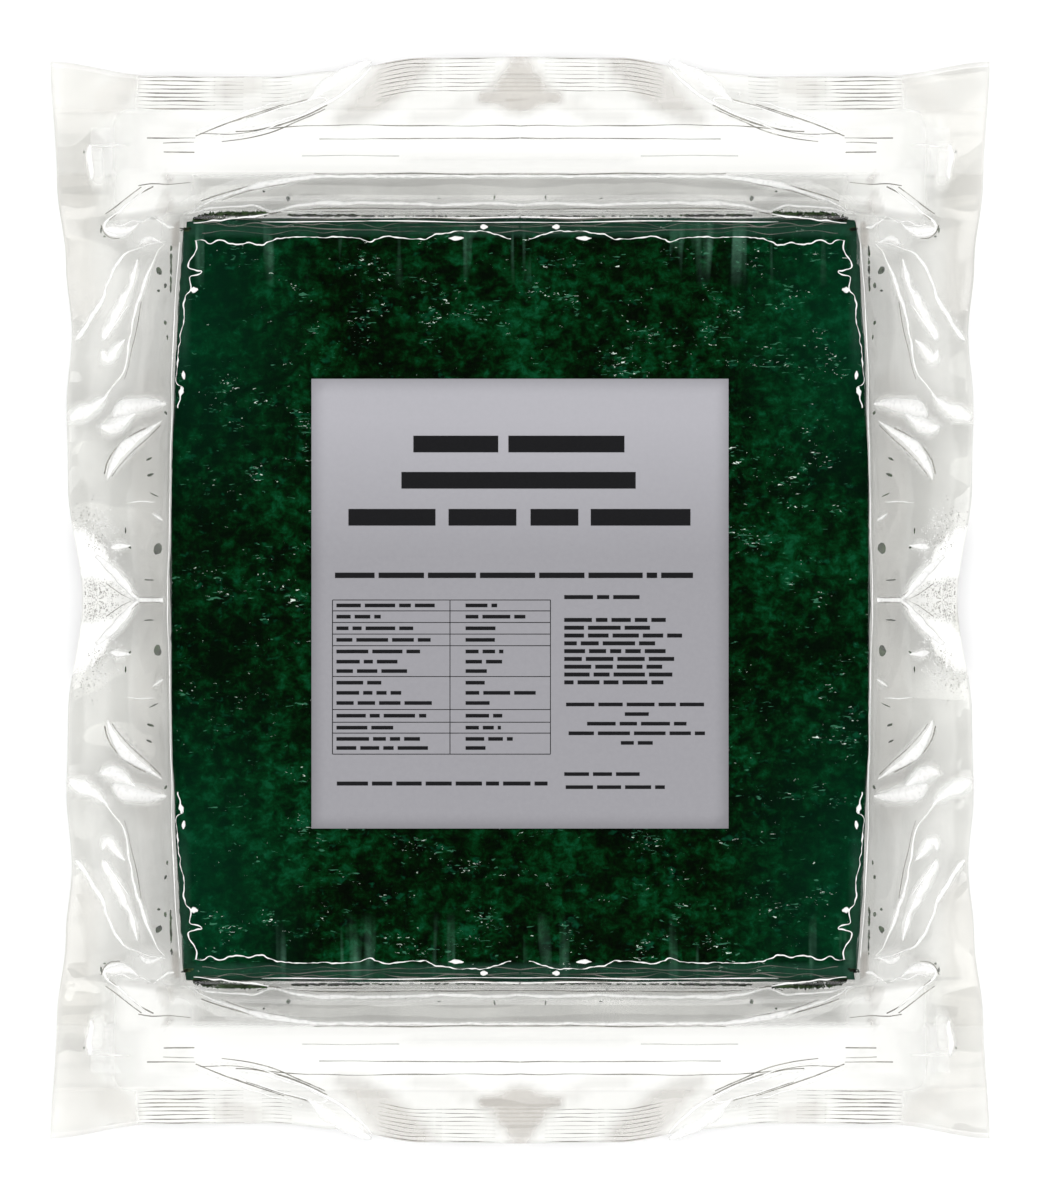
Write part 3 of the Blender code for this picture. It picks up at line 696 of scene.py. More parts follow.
def hazeAndPaintedLightAt(x, y):
    # how white the front film is, partly its own haze and partly painted light: painted highlight on the
    # seal and the press-lock's zone, painted light on the strip inside it and on the steep faces beside the
    # stack's shade, and painted reflection over the rim that clings to the sheets
    u, v = np.abs(x), np.abs(y)
    inWidth = 1 - 0.85 * rising(u, 90, 32)
    strip = rising(v, zones["strip"], 1.5) * (1 - rising(v, zones["lock"], 0.8))
    lockBand = rising(v, zones["lock"], 0.8) * (1 - rising(v, 137, 3))
    seal = rising(v, zones["seal"], 3)
    greyBand = np.exp(-((v - 123.7) / 1.1) ** 2) * (1 - rising(u, 26, 10))
    endRim = rising(v, 99.5, 2) * (1 - rising(v, 105.5, 1)) * (1 - rising(u, 88, 4))
    sideRim = ease((u - sideLine(v) + 3.5) / 1.5) * (1 - ease((u - sideLine(v)) / 1)) * rising(v, 66, 8)
    haze = (hazeAndPaintedLight["strip"] * strip + hazeAndPaintedLight["lock"] * lockBand * (1 - 0.35 * greyBand)) * inWidth
    haze = np.maximum(haze, hazeAndPaintedLight["seal"] * seal * (1 - 0.7 * rising(u, 104, 6)))
    for (u0, v0), (wide, deep), amount in hazeAndHighlightPatches:
        haze = np.maximum(haze, amount * np.exp(-((u - u0) / wide) ** 4 - ((v - v0) / deep) ** 4))
    for (u0, v0), (wide, deep), amount in clearings:
        haze *= 1 - amount * np.exp(-((u - u0) / wide) ** 2 - ((v - v0) / deep) ** 2)
    haze *= 1 - 0.8 * np.minimum(paintedShadeAt(x, y) * 1.5, 1)
    haze = np.maximum(haze, hazeAndPaintedLight["flange"] * rising(u, reachX(v), 3))
    steepEnd = rising(v, 105.9, 0.5) * (1 - rising(v, 108.4, 2.4)) * (1 - rising(u, 71, 3))
    past = u - reachX(v)
    steepSide = ease((past + 0.2) / 0.4) * (1 - rising(past, 1.0, 2.5)) * (1 - rising(v, 98, 5))
    haze = np.maximum(haze, np.maximum(hazeAndPaintedLight["steepEnd"] * steepEnd, hazeAndPaintedLight["steepSide"] * steepSide))
    haze = np.maximum(haze, pinchPaintedHighlight(u, v))
    for fold in creases.values():
        haze = np.maximum(haze, foldPaintedHighlight(u, v, fold))
    offStack = ease((np.maximum(u - reachX(v), v - reachY) + 1.5) / 1.0)
    return haze * offStack + hazeAndPaintedLight["endRim"] * endRim + hazeAndPaintedLight["sideRim"] * sideRim


def backHeight(x, y):
    u, v = np.abs(x), np.abs(y)
    side, end = baseShares(u, v)
    opened = rising(v, 108, 5) - rising(v, pouch["lockOuter"], 4)
    drop = pouch["lockHeight"] - pouch["lockBottom"] + pouch["slack"] - pouch["halfSeam"]
    rim = flangeHeight(u, v) - pouch["halfSeam"] - drop * opened
    left = (1 - side) ** 1.5 * (1 - end) ** 1.5
    height = rim + (0.3 - rim) * left
    outside = ease(np.maximum((u - reachX(v)) / 8, (v - reachY) / 6))
    return np.maximum(height + (crumpled(x, y, "back") - 0.5) * outside, 0.05)


# the two films
filmGrid = {
    # distance from the middle, in millimetres, and how many cells there are up to it
    "across": [(0, 0), (86, 32), (99, 44), (131, 84)],
    "along": [(0, 0), (98, 66), (108.5, 80), (137, 106), (148.4, 138), (153.2, 141)],
    # past these distances the cells follow the pouch's outline
    "straightAcross": 99, "straightAlong": 137,
}


def gridLine(stops, index):
    cells, places = [s[1] for s in stops], [s[0] for s in stops]
    return np.interp(index, cells, places)


def filmSheet(name, heightOf, coarser, outward, material, node, looks=None):
    columns = filmGrid["across"][-1][1] // coarser
    rows = filmGrid["along"][-1][1] // coarser
    bm = bmesh.new()
    bmesh.ops.create_grid(bm, x_segments=2 * columns, y_segments=2 * rows, size=1)
    co = np.array([tuple(v.co) for v in bm.verts])
    across, down = np.rint(co[:, 0] * columns), np.rint(co[:, 1] * rows)
    flatU = gridLine(filmGrid["across"], np.abs(across) * coarser)
    flatV = gridLine(filmGrid["along"], np.abs(down) * coarser)
    lastU, lastV = filmGrid["across"][-1][0], filmGrid["along"][-1][0]
    startU, startV = filmGrid["straightAcross"], filmGrid["straightAlong"]
    edgeU = along(pouch["halfWidths"], flatV)
    u = np.where(flatU > startU, startU + (flatU - startU) * (edgeU - startU) / (lastU - startU), flatU)
    edgeV = along(pouch["halfLengths"], u)
    v = np.where(flatV > startV, startV + (flatV - startV) * (edgeV - startV) / (lastV - startV), flatV)
    x, y = np.copysign(u, across), np.copysign(v, down)
    z = heightOf(x, y)
    for vert, place in zip(bm.verts, zip(x * mm, y * mm, z * mm)):
        vert.co = place
    piece = addPiece(bm, name, material, [node])
    for look, shareAt in (looks or {}).items():
        shares = piece.data.attributes.new(look, "FLOAT", "POINT")
        shares.data.foreach_set("value", shareAt(x, y).astype(np.float32))
    thicken(piece, "filmWall", pouch["film"], outward)


filmSheet("filmFront", frontHeight, 1, 1, film, "film_front", {"cloud": hazeAndPaintedLightAt, "paintedShade": paintedShadeAt})
filmSheet("filmBack", backHeight, 2, -1, film, "film_back")
print("films made")


# creases: painted highlights on the folds' crests, and thin grey lines of painted shade where film stands
# edge on
creaseLook = {"step": 0.8, "flat": 0.13, "sides": 8, "lift": 0.03}


def evenly(line, step):
    # points at even distances along a line
    gaps = np.hypot(*(line[1:, :2] - line[:-1, :2]).T)
    at = np.concatenate([[0], np.cumsum(gaps)])
    count = max(int(at[-1] / step), 3)
    places = np.linspace(0, at[-1], count + 1)
    return np.stack([np.interp(places, at, line[:, i]) for i in (0, 1, 2)], axis=1)


def ragged(line, size, scale, seed, swell=0.9):
    # a line that wanders from side to side, and thins and thickens
    out = line.copy()
    for i, (x, y, half) in enumerate(line):
        p = Vector((x / scale, y / scale, seed))
        out[i, 0] += noise.noise(p) * size
        out[i, 1] += noise.noise(p + Vector((31, 17, 5))) * size
        out[i, 2] *= 1 + swell * noise.noise(p + Vector((7, 3, 9)))
    return out


def creaseProfile():
    # a flat oval, 1 mm in half width
    data = bpy.data.curves.new("creaseProfile", "CURVE")
    data.dimensions = "2D"
    spline = data.splines.new("POLY")
    spline.points.add(creaseLook["sides"] - 1)
    for i, point in enumerate(spline.points):
        angle = 2 * math.pi * i / creaseLook["sides"]
        point.co = (math.cos(angle) * mm, math.sin(angle) * creaseLook["flat"] * mm, 0, 1)
    spline.use_cyclic_u = True
    made = bpy.data.objects.new("creaseProfile", data)
    bpy.context.scene.collection.objects.link(made)
    return made


def creasePiece(name, lines, material):
    # lines are points across, along and half width, drawn in one quarter and mirrored to the others
    profile = creaseProfile()
    curve = bpy.data.curves.new(name, "CURVE")
    curve.dimensions = "3D"
    curve.twist_mode = "Z_UP"
    curve.bevel_mode = "OBJECT"
    curve.bevel_object = profile
    curve.use_fill_caps = True
    placed = [line * (signX, signY, 1) for line in lines for signX in (1, -1) for signY in (1, -1)]
    together = np.concatenate(placed)
    heights = frontHeight(together[:, 0], together[:, 1]) + pouch["film"] + creaseLook["lift"]
    start = 0
    for line in placed:
        spline = curve.splines.new("POLY")
        spline.points.add(len(line) - 1)
        for point, (x, y, half), z in zip(spline.points, line, heights[start:]):
            point.co = (x * mm, y * mm, z * mm, 1)
            point.radius = max(half, 0.03)
        start += len(line)
    source = bpy.data.objects.new(name + "Curve", curve)
    bpy.context.scene.collection.objects.link(source)
    mesh = bpy.data.meshes.new_from_object(source.evaluated_get(bpy.context.evaluated_depsgraph_get()))
    bpy.data.objects.remove(source)
    bpy.data.objects.remove(profile)
    bm = bmesh.new()
    bm.from_mesh(mesh)
    bmesh.ops.remove_doubles(bm, verts=bm.verts, dist=0.000002)
    bmesh.ops.recalc_face_normals(bm, faces=bm.faces)
    addPiece(bm, name, material)


# ticks round the pinch: short white ones of painted glint and dark ones of painted shade, each patch a
# middle, spread, count, size
pinchTicks = {
    "dark": [((119.0, 2.0), (6.5, 4.5), 560, 0.095), ((118.5, 16.0), (2.4, 3.0), 60, 0.1),
             ((122.0, 24.0), (3.0, 3.0), 50, 0.12)],
    "white": [((119.5, 20.0), (5.0, 3.6), 170, 0.24), ((114.5, 13.5), (2.4, 3.0), 60, 0.2),
              ((125, 84), (2.0, 5.0), 30, 0.14)],
}


def tickLines(patches, seed):
    rng = random.Random(seed)
    out = []
    for (u0, v0), (wide, deep), count, size in patches:
        for i in range(count):
            u, v = rng.gauss(u0, wide / 1.6), rng.gauss(v0, deep / 1.6)
            turn, long, half = rng.gauss(1.57, 0.7), rng.uniform(0.15, 0.5), rng.uniform(0.4, 1.0) * size
            outside = v0 < 5 and v > float(np.interp(u, *zip(*pinch["inner"])))
            if 0.1 < v and 108 < u < along(pouch["halfWidths"], v) - 0.5 and not outside:
                tip = (u + math.cos(turn) * long, v + math.sin(turn) * long, half)
                out.append(np.array([(u, v, half * 0.5), tip]))
    return out


for soft, name, material in ((False, "filmPaintedCreaseHighlights", paintedHighlightFilm), (True, "filmPaintedSoftHighlights", paintedSoftHighlightFilm)):
    foldLines = [] if soft else tickLines(pinchTicks["white"], 22)
    for i, fold in enumerate(creases.values()):
        if fold.get("soft", False) == soft:
            line = evenly(smoothRoute(fold["route"]), creaseLook["step"])
            foldLines.append(ragged(line, 0.35, 4.0, i * 3.3, 0.45))
    creasePiece(name, foldLines, material)

# thin grey lines of painted shade: half width, and a route
shadeLineRoutes = {
    "lockOuter": (0.12, [
        (90.0, 131.3), (79.5, 131.2), (67.8, 133.0), (52.0, 133.8), (34.0, 133.6), (0.0, 133.4)]),
    "lockRib": (0.1, [(56.5, 129.7), (30.0, 129.9), (0.0, 129.9)]),
    "lockRibEnd": (0.16, [(104.8, 129.9), (91.3, 129.9)]),
    "lockEndShort": (0.12, [(100.3, 128.6), (91.8, 128.7)]),
    "lockEndLow": (0.12, [(100.0, 126.1), (91.5, 126.0)]),
    "lockMiddle": (0.08, [(61.4, 125.1), (48.0, 125.2), (34.0, 125.0)]),
    "lockInner": (0.14, [(58.0, 119.9), (30.0, 119.9), (0.0, 119.8)]),
    "sealLeafFar": (0.15, [(91.2, 130.6), (86.0, 132.8), (80.0, 135.0), (73.2, 137.6), (66.5, 139.8)]),
    "sealLeafNear": (0.17, [(80.1, 131.8), (73.6, 132.4), (66.0, 134.2), (59.4, 137.0), (54.6, 139.6)]),
    "sealLeafTop": (0.12, [(77.0, 135.8), (71.0, 137.9), (64.4, 139.9), (58.0, 141.9)]),
    "sealFanUnder": (0.14, [(84.0, 129.0), (76.0, 130.0), (68.4, 132.2), (60.8, 135.6), (55.0, 138.4)]),
    "cornerFar": (0.14, [(106.5, 116.2), (109.3, 114.2), (112.8, 111.6), (116.8, 108.7)]),
    "cornerNear": (0.2, [(103.0, 116.2), (107.0, 114.0), (111.4, 110.4), (115.6, 106.9)]),
    "cornerTop": (0.12, [(107.3, 116.5), (103.4, 117.0), (98.4, 116.8), (92.8, 117.4)]),
    "cornerBow": (0.1, [(118.0, 105.6), (117.2, 103.6), (115.4, 102.0), (112.4, 101.5)]),
    "drapeNear": (0.17, [(89.6, 112.2), (85.0, 113.8), (78.2, 115.8), (72.4, 117.3)]),
    "drapeUnder": (0.1, [(84.0, 112.4), (78.0, 114.6), (72.0, 116.0), (66.0, 116.9)]),
    "footShade": (0.16, [
        (69.0, 106.7), (65.0, 108.8), (60.0, 109.5), (50.0, 110.0), (33.0, 109.8), (15.0, 109.7),
        (0.0, 109.5)]),
    "footVee": (0.16, [(73.8, 109.4), (71.0, 107.4), (68.8, 106.6), (66.6, 107.6)]),
    "sideLower": (0.08, [(105.9, 83.5), (107.2, 76.0), (108.8, 70.0), (109.8, 65.5), (111.0, 62.0)]),
    "leafUnder": (0.1, [(99.6, 48.4), (104.4, 44.6), (108.6, 41.4), (112.6, 37.4), (114.8, 34.6)]),
    "leafOver": (0.16, [(104.4, 48.0), (108.6, 46.2), (112.6, 43.4), (115.6, 39.4), (116.8, 35.6)]),
    "armOver": (0.1, [(115.0, 9.8), (112.0, 6.0), (108.6, 2.4), (106.6, 0.9)]),
    "armUnder": (0.1, [(116.4, 4.6), (112.4, 1.9), (109.0, 0.3)]),
    "barUnder": (0.1, [(106.4, 0.7), (103.0, 0.7), (99.0, 0.7)]),
}
# grey lines of painted shade in the film over the sheets' end rims: how far along, half width, and scale of
# their wander
rimShadeLines = [(105.2, 0.16, 18.0), (103.6, 0.1, 7.0), (102.9, 0.08, 12.0), (101.6, 0.08, 9.0)]
shadeLines = []
for i, (half, route) in enumerate(shadeLineRoutes.values()):
    line = evenly(smoothRoute([(*point, half) for point in route]), creaseLook["step"])
    shadeLines.append(ragged(line, 0.3, 12.0, i * 2.7))
for rib in range(ribs["count"]):
    for start, end, weight in ribs["runs"]:
        u = np.arange(end, start, 1.2)
        v = along(pouch["halfLengths"], u) - ribs["first"] - rib * ribs["pitch"]
        fade = np.clip(np.minimum(u - end, start - u) / 5, 0.25, 1)
        line = np.stack([u, v, ribs["half"] * weight * fade], axis=1)
        shadeLines.append(ragged(line, 0.25, 9.0, rib * 1.3 + end))
for at, half, scale in rimShadeLines:
    line = np.array([(u, at, half) for u in np.arange(0, 88, 0.7)])
    shadeLines.append(ragged(line, 1.3, scale, at * 3, 1.8))
creasePiece("filmPaintedShadeLines", shadeLines + tickLines(pinchTicks["dark"], 21), paintedShadeFilm)

# where the film leaves the sheets' top, a painted highlight runs in a ragged white line, inside the stack's
# edge
contactEnd = [
    (89.5, 99.1), (87.4, 99.4), (86.3, 98.5), (85.2, 98.2), (82.7, 99.2), (80.5, 98.5), (77.8, 98.0),
    (75.0, 98.5), (71.7, 97.8), (69.2, 98.9), (66.4, 99.7), (61.2, 100.1), (48.5, 100.0), (44.1, 99.7),
    (41.3, 98.8), (39.6, 99.7), (36.3, 100.3), (32.7, 99.9), (26.4, 99.4), (23.9, 100.6), (20.0, 101.4),
    (14.2, 101.8), (8.7, 101.4), (5.9, 100.7), (2.6, 99.6)]
contactSide = [
    (89.5, 99.1), (89.1, 97.0), (89.9, 95.0), (91.6, 92.7), (91.3, 91.5), (89.7, 91.1), (87.7, 90.6),
    (89.0, 89.7), (91.1, 89.0), (90.9, 85.6), (92.2, 83.8), (92.7, 81.0), (92.7, 76.4), (93.6, 72.8),
    (94.5, 65.0), (94.8, 59.9), (93.1, 58.6), (93.6, 56.3), (94.3, 53.0)]
contactSpots = [
    [(15.4, 99.8, 0.1), (16.6, 99.8, 0.45), (18.4, 99.8, 0.5), (19.8, 99.8, 0.1)],
    [(8.9, 102.9, 0.2), (9.9, 103.0, 0.6), (11.0, 102.9, 0.2)],
    [(90.9, 85.6, 0.3), (89.8, 85.6, 0.7), (88.9, 85.8, 0.3)],
    [(92.8, 63.2, 0.15), (92.7, 62.0, 0.5), (92.5, 60.9, 0.2)],
    [(93.6, 58.8, 0.3), (93.4, 57.6, 0.6), (93.8, 56.2, 0.2)],
]
# painted highlights in white lines where the film is drawn tight over the rims. At the ends: how far along,
# half width, scale of their wander, how far out they reach. At the sides: how far beyond the stack's line,
# and half width
tightEndHighlights = [(105.4, 0.14, 20.0, 66), (104.4, 0.14, 26.0, 72)]
tightSideHighlight = (0.9, 0.13)
paintedContactHighlights = []
for i, route in enumerate((contactEnd, contactSide)):
    line = evenly(smoothRoute([(*point, 0.12) for point in route]), 0.4)
    paintedContactHighlights.append(ragged(line, 0.35, 1.6, 8.3 + i, 1.6))
paintedContactHighlights += [ragged(evenly(smoothRoute(route), 0.4), 0.2, 1.5, 4.4) for route in contactSpots]
# the painted highlight line under the crumbs near the corner
underWedge = [
    (90.0, 103.9, 0.12), (86.0, 104.5, 0.2), (80.0, 105.0, 0.16), (74.0, 105.7, 0.2), (69.5, 106.6, 0.3)]
paintedContactHighlights.append(ragged(evenly(smoothRoute(underWedge), 0.4), 0.3, 3.0, 6.2, 1.2))
for at, half, scale, end in tightEndHighlights:
    line = np.array([(u, at, half * min((end - u) / 12 + 0.15, 1)) for u in np.arange(0, end, 0.7)])
    paintedContactHighlights.append(ragged(line, 0.5, scale, at * 7, 1.6))
v = np.arange(0, 99, 0.8)
line = np.stack([sideLine(v) + tightSideHighlight[0], v, np.full_like(v, tightSideHighlight[1])], axis=1)
paintedContactHighlights.append(ragged(line, 0.5, 14.0, tightSideHighlight[0] * 7))
creasePiece("filmPaintedContactHighlights", paintedContactHighlights, paintedHighlightFilm)
print("creases made")


# loose flakes of nori, close under the front film: across, along, length, width and turn in degrees
flakes = [
    (100.7, 91.8, 2.4, 1.6, 60), (98.6, 87.4, 1.6, 0.9, 90), (100.7, 86.2, 0.9, 0.8, 0),
    (98.5, 77.0, 1.4, 0.8, 80), (97.9, 72.9, 1.5, 0.5, 85), (98.2, 51.9, 1.3, 0.7, 60),
    (112.0, 96.0, 1.2, 0.5, 40), (103.3, 106.8, 2.2, 0.8, 15), (118.0, 104.2, 1.7, 0.5, 95),
    (117.0, 102.4, 0.8, 0.6, 0), (103.5, 39.4, 1.8, 0.6, 155), (103.1, 34.9, 2.1, 0.8, 160),
    (101.9, 29.3, 3.0, 0.35, 25), (110.6, 43.8, 1.7, 0.4, 95), (110.8, 19.5, 1.9, 0.45, 88),
    (109.6, 14.8, 1.3, 0.6, 45), (100.7, 14.1, 3.4, 2.3, 95), (103.6, 5.6, 3.0, 0.45, 2),
    (65.2, 113.0, 1.6, 1.2, 80), (72.1, 115.0, 0.8, 0.6, 10), (32.1, 111.6, 1.8, 0.9, 5),
    (22.8, 113.0, 1.2, 0.35, 10), (7.2, 113.3, 1.5, 0.5, 100), (24.4, 109.1, 1.0, 0.6, 0),
    (98.9, 125.2, 0.6, 0.5, 0), (122.9, 126.3, 0.8, 0.5, 90),
]
# rows of crumbs against the stack: how many, from and to, how far they stray, length, and turn in degrees
crumbRows = [
    (70, (63.6, 106.1), (44.0, 106.0), 0.2, (0.7, 2.6), 0),
    (50, (44.0, 105.9), (0.0, 105.7), 0.12, (0.6, 2.2), 0),
    (20, (96.5, 98.0), (96.6, 85.6), 0.12, (0.6, 2.4), 90),
    (12, (93.1, 102.3), (90.7, 102.2), 0.4, (0.6, 1.6), 10),
]
# a band of crumbs near each corner, with its middle line and spread at these distances across
debris = {
    "count": 260, "from": (70, 90), "at": [(70, 106.9), (76, 106.7), (84, 106.4), (90, 105.0)],
    "spread": [(70, 0.1), (76, 0.6), (84, 1.0), (90, 0.3)], "size": (0.6, 1.8), "width": (0.3, 0.8),
}
# loose and pressed: how far up between the two films a scrap lies, less its distance under the front one
flakeLook = {
    "corners": 9, "stretch": (0.75, 1.15), "thickness": 0.12, "crumbWidth": (0.35, 0.7), "askew": 7,
    "loose": 0.9, "pressed": 1.0, "under": 0.3,
}


def addFlake(bm, rng, x, y, long, wide, turn, z):
    # a torn scrap with a ragged outline, made by itself first, which is quicker than in the whole piece
    scrap = bmesh.new()
    made = bmesh.ops.create_circle(scrap, cap_ends=True, segments=flakeLook["corners"], radius=0.5)
    angle = math.radians(turn)
    for vert in made["verts"]:
        stretch = rng.uniform(*flakeLook["stretch"])
        a, b = vert.co.x * long * stretch, vert.co.y * wide * stretch
        vert.co = ((x + a * math.cos(angle) - b * math.sin(angle)) * mm,
                   (y + a * math.sin(angle) + b * math.cos(angle)) * mm, z * mm)
    face = made["verts"][0].link_faces[0]
    extrude(scrap, [face], (0, 0, flakeLook["thickness"] * mm))
    mesh = bpy.data.meshes.new("scrap")
    scrap.to_mesh(mesh)
    scrap.free()
    bm.from_mesh(mesh)
    bpy.data.meshes.remove(mesh)


def makeFlakes():
    bm = bmesh.new()
    rng = random.Random(3)
    scraps = []
    for signX in (1, -1):
        for signY in (1, -1):
            for across, down, long, wide, turn in flakes:
                turn *= signX * signY
                scraps.append((across * signX, down * signY, long, wide, turn, flakeLook["loose"]))
            for count, start, end, stray, size, turn in crumbRows:
                for i in range(count):
                    share = rng.random()
                    across, down = [
                        a + (b - a) * share + rng.uniform(-1, 1) * stray for a, b in zip(start, end)]
                    long, wide = rng.uniform(*size), rng.uniform(*flakeLook["crumbWidth"])
                    askew = rng.uniform(-flakeLook["askew"], flakeLook["askew"])
                    turned = (turn + askew) * signX * signY
                    scraps.append((across * signX, down * signY, long, wide, turned, flakeLook["pressed"]))
            for i in range(debris["count"]):
                across = rng.uniform(*debris["from"])
                down, spread = [float(np.interp(across, *zip(*debris[key]))) for key in ("at", "spread")]
                down += rng.uniform(-1, 1) * spread
                long, wide = rng.uniform(*debris["size"]), rng.uniform(*debris["width"])
                turn = rng.uniform(0, 180)
                scraps.append((across * signX, down * signY, long, wide, turn, flakeLook["pressed"]))
    x, y = np.array([scrap[0] for scrap in scraps]), np.array([scrap[1] for scrap in scraps])
    lows, highs = backHeight(x, y), frontHeight(x, y)
    for scrap, low, high in zip(scraps, lows, highs):
        lift = low + (high - low) * scrap[5] - flakeLook["under"]
        addFlake(bm, rng, *scrap[:5], float(lift))
    bmesh.ops.recalc_face_normals(bm, faces=bm.faces)
    addPiece(bm, "noriFlakes", flake, smooth=False)


makeFlakes()
print("flakes made")


# press-lock strips
lockStrip = {"halfSpan": 121.0, "tape": 0.3, "inner": 119.3, "outer": 133.2, "upper": 5.9, "lower": 4.1}
# each rib's middle, half width and height
lockRibs = {
    "upper": [(124.0, 0.35, 0.45), (130.0, 0.45, 1.2)],
    "lower": [(123.2, 0.3, 0.5), (124.8, 0.3, 0.5), (128.7, 0.4, 1.2), (131.3, 0.4, 1.2)],
}


def lockPiece(name, profile, sign, node):
    # one profile, drawn in Y and Z, swept across the pouch
    bm = bmesh.new()
    verts = [bm.verts.new((-lockStrip["halfSpan"] * mm, sign * y * mm, z * mm)) for y, z in profile]
    face = bm.faces.new(verts)
    extrude(bm, [face], (2 * lockStrip["halfSpan"] * mm, 0, 0), keep=False)
    bmesh.ops.recalc_face_normals(bm, faces=bm.faces)
    addPiece(bm, name, lock, [node], smooth=False)


def ribbed(base, step, ribs):
    # the side of a tape that carries its ribs
    line = []
    for middle, half, height in ribs:
        line += [(middle - half, base), (middle - half, base + step * height)]
        line += [(middle + half, base + step * height), (middle + half, base)]
    return line


def lockProfile(upper):
    inner, outer, tape = [lockStrip[key] for key in ("inner", "outer", "tape")]
    if upper:
        low, high = lockStrip["upper"], lockStrip["upper"] + tape
        ribSide = ribbed(low, -1, lockRibs["upper"])
        return [(inner, low), *ribSide, (outer, low), (outer, high), (inner, high)]
    low, high = lockStrip["lower"] - tape, lockStrip["lower"]
    ribSide = ribbed(high, 1, lockRibs["lower"])
    return [(inner, low), (inner, high), *ribSide, (outer, high), (outer, low)]


for end, sign in (("Head", 1), ("Foot", -1)):
    lockPiece("lockRib" + end, lockProfile(True), sign, "lock_rib_" + end.lower())
    lockPiece("lockChannel" + end, lockProfile(False), sign, "lock_channel_" + end.lower())
print("press-locks made")


# nori sheets
sheetLook = {
    "thickness": 0.2, "points": 120, "wander": 0.35, "shift": 0.6, "fray": 0.25, "perPiece": 10,
    "cornerCut": 2.0,
}


def sheetEdge(rng):
    # one sheet's outline, ragged and a little out of place
    n = sheetLook["points"]
    halfX, halfY, corner = stack["width"] / 2, stack["length"] / 2, sheetLook["cornerCut"]
    shiftX, shiftY = rng.uniform(-1, 1) * sheetLook["shift"], rng.uniform(-1, 1) * sheetLook["shift"]
    seed = rng.uniform(0, 100)
    # each side's length, its direction and the way out from it
    sides = [(2 * halfX, 1, 0, 0, -1), (2 * halfY, 0, 1, 1, 0),
             (2 * halfX, -1, 0, 0, 1), (2 * halfY, 0, -1, -1, 0)]
    out = []
    total = 4 * (halfX + halfY)
    for i in range(n):
        s = i / n * total
        x, y, nx, ny = -halfX, -halfY, 0, -1
        for length, dx, dy, ox, oy in sides:
            step = min(s, length)
            x, y = x + dx * step, y + dy * step
            nx, ny = ox, oy
            s -= step
            if s <= 0:
                break
        near = (halfX - abs(x)) + (halfY - abs(y))
        if near < corner:
            pull = (corner - near) * 0.3
            x -= math.copysign(pull, x)
            y -= math.copysign(pull, y)
        wander = noise.noise(Vector((x / 18, y / 18, seed))) * sheetLook["wander"] * 2
        fray = noise.noise(Vector((x / 1.5, y / 1.5, seed + 50))) * sheetLook["fray"]
        x *= float(sideLine(y)) / (stack["width"] / 2)
        out.append((x + nx * (wander + fray) + shiftX, y + ny * (wander + fray) + shiftY))
    return out


def addSheet(bm, rng, height):
    edge = sheetEdge(rng)
    made = bmesh.ops.create_circle(bm, cap_ends=True, segments=len(edge), radius=1)
    verts = made["verts"]
    for vert, (x, y) in zip(verts, edge):
        vert.co = (x * mm, y * mm, 0)
    face = verts[0].link_faces[0]
    bmesh.ops.inset_region(bm, faces=[face], thickness=stack["rim"] * mm, use_even_offset=True)
    faces = {f for vert in verts for f in vert.link_faces} | {face}
    allVerts = {vert for f in faces for vert in f.verts}
    for vert in allVerts:
        x, y = vert.co.x / mm, vert.co.y / mm
        vert.co.z = float(pressed(abs(x), abs(y), height)) * mm
    extrude(bm, list(faces), (0, 0, sheetLook["thickness"] * mm))


rng = random.Random(11)
for piece in range(stack["count"] // sheetLook["perPiece"]):
    bm = bmesh.new()
    for i in range(sheetLook["perPiece"]):
        index = piece * sheetLook["perPiece"] + i
        if index == stack["count"] - 1:
            break
        addSheet(bm, rng, stack["base"] + index * stack["pitch"])
    bmesh.ops.recalc_face_normals(bm, faces=bm.faces)
    addPiece(bm, f"noriSheets{piece + 1:02d}", nori, [f"nori_sheets_{piece + 1:02d}"], smooth=False)
print("sheets made")


topSheet = {"cellsAcross": 110, "cellsAlong": 120, "lumps": 0.05, "lumpScale": 9, "cornerCut": 0.6}


def makeTopSheet():
    bm = bmesh.new()
    across, down = topSheet["cellsAcross"], topSheet["cellsAlong"]
    bmesh.ops.create_grid(bm, x_segments=across, y_segments=down, size=1)
    base = stack["base"] + (stack["count"] - 1) * stack["pitch"]
    for vert in bm.verts:
        a, b = vert.co.x, vert.co.y
        y = b * stack["length"] / 2
        x = a * float(sideLine(y))
        edge = max(abs(a), abs(b)) ** 40
        wander = noise.noise(Vector((x / 18, y / 18, 4.4))) * 0.5
        wander += noise.noise(Vector((x / 1.7, y / 1.7, 9.1))) * 0.5
        x += math.copysign(wander * edge, x) * (abs(a) > 0.5)
        y += math.copysign(wander * edge, y) * (abs(b) > 0.5)
        if abs(a) > 0.98 and abs(b) > 0.98:
            cut = topSheet["cornerCut"]
            x, y = x - math.copysign(cut, x), y - math.copysign(cut, y)
        lump = noise.noise(Vector((x / topSheet["lumpScale"], y / topSheet["lumpScale"], 1.0)))
        z = float(pressed(abs(x), abs(y), base)) + lump * topSheet["lumps"]
        vert.co = (x * mm, y * mm, z * mm)
    piece = addPiece(bm, "noriSheetTop", nori, ["nori_sheet_top"])
    thicken(piece, "sheetWall", sheetLook["thickness"], 1)


makeTopSheet()
print("top sheet made")


# label
label = {
    "width": 115, "length": 124, "middle": (0, -1), "paper": 0.1, "height": 29.35, "cells": 24,
    "wave": 0.12, "waveScale": 45, "ink": (0.02, 0.05),
}


def labelHeight(x, y):
    wave = noise.noise(Vector((x / label["waveScale"], y / label["waveScale"], 2.2)))
    return label["height"] + wave * label["wave"]


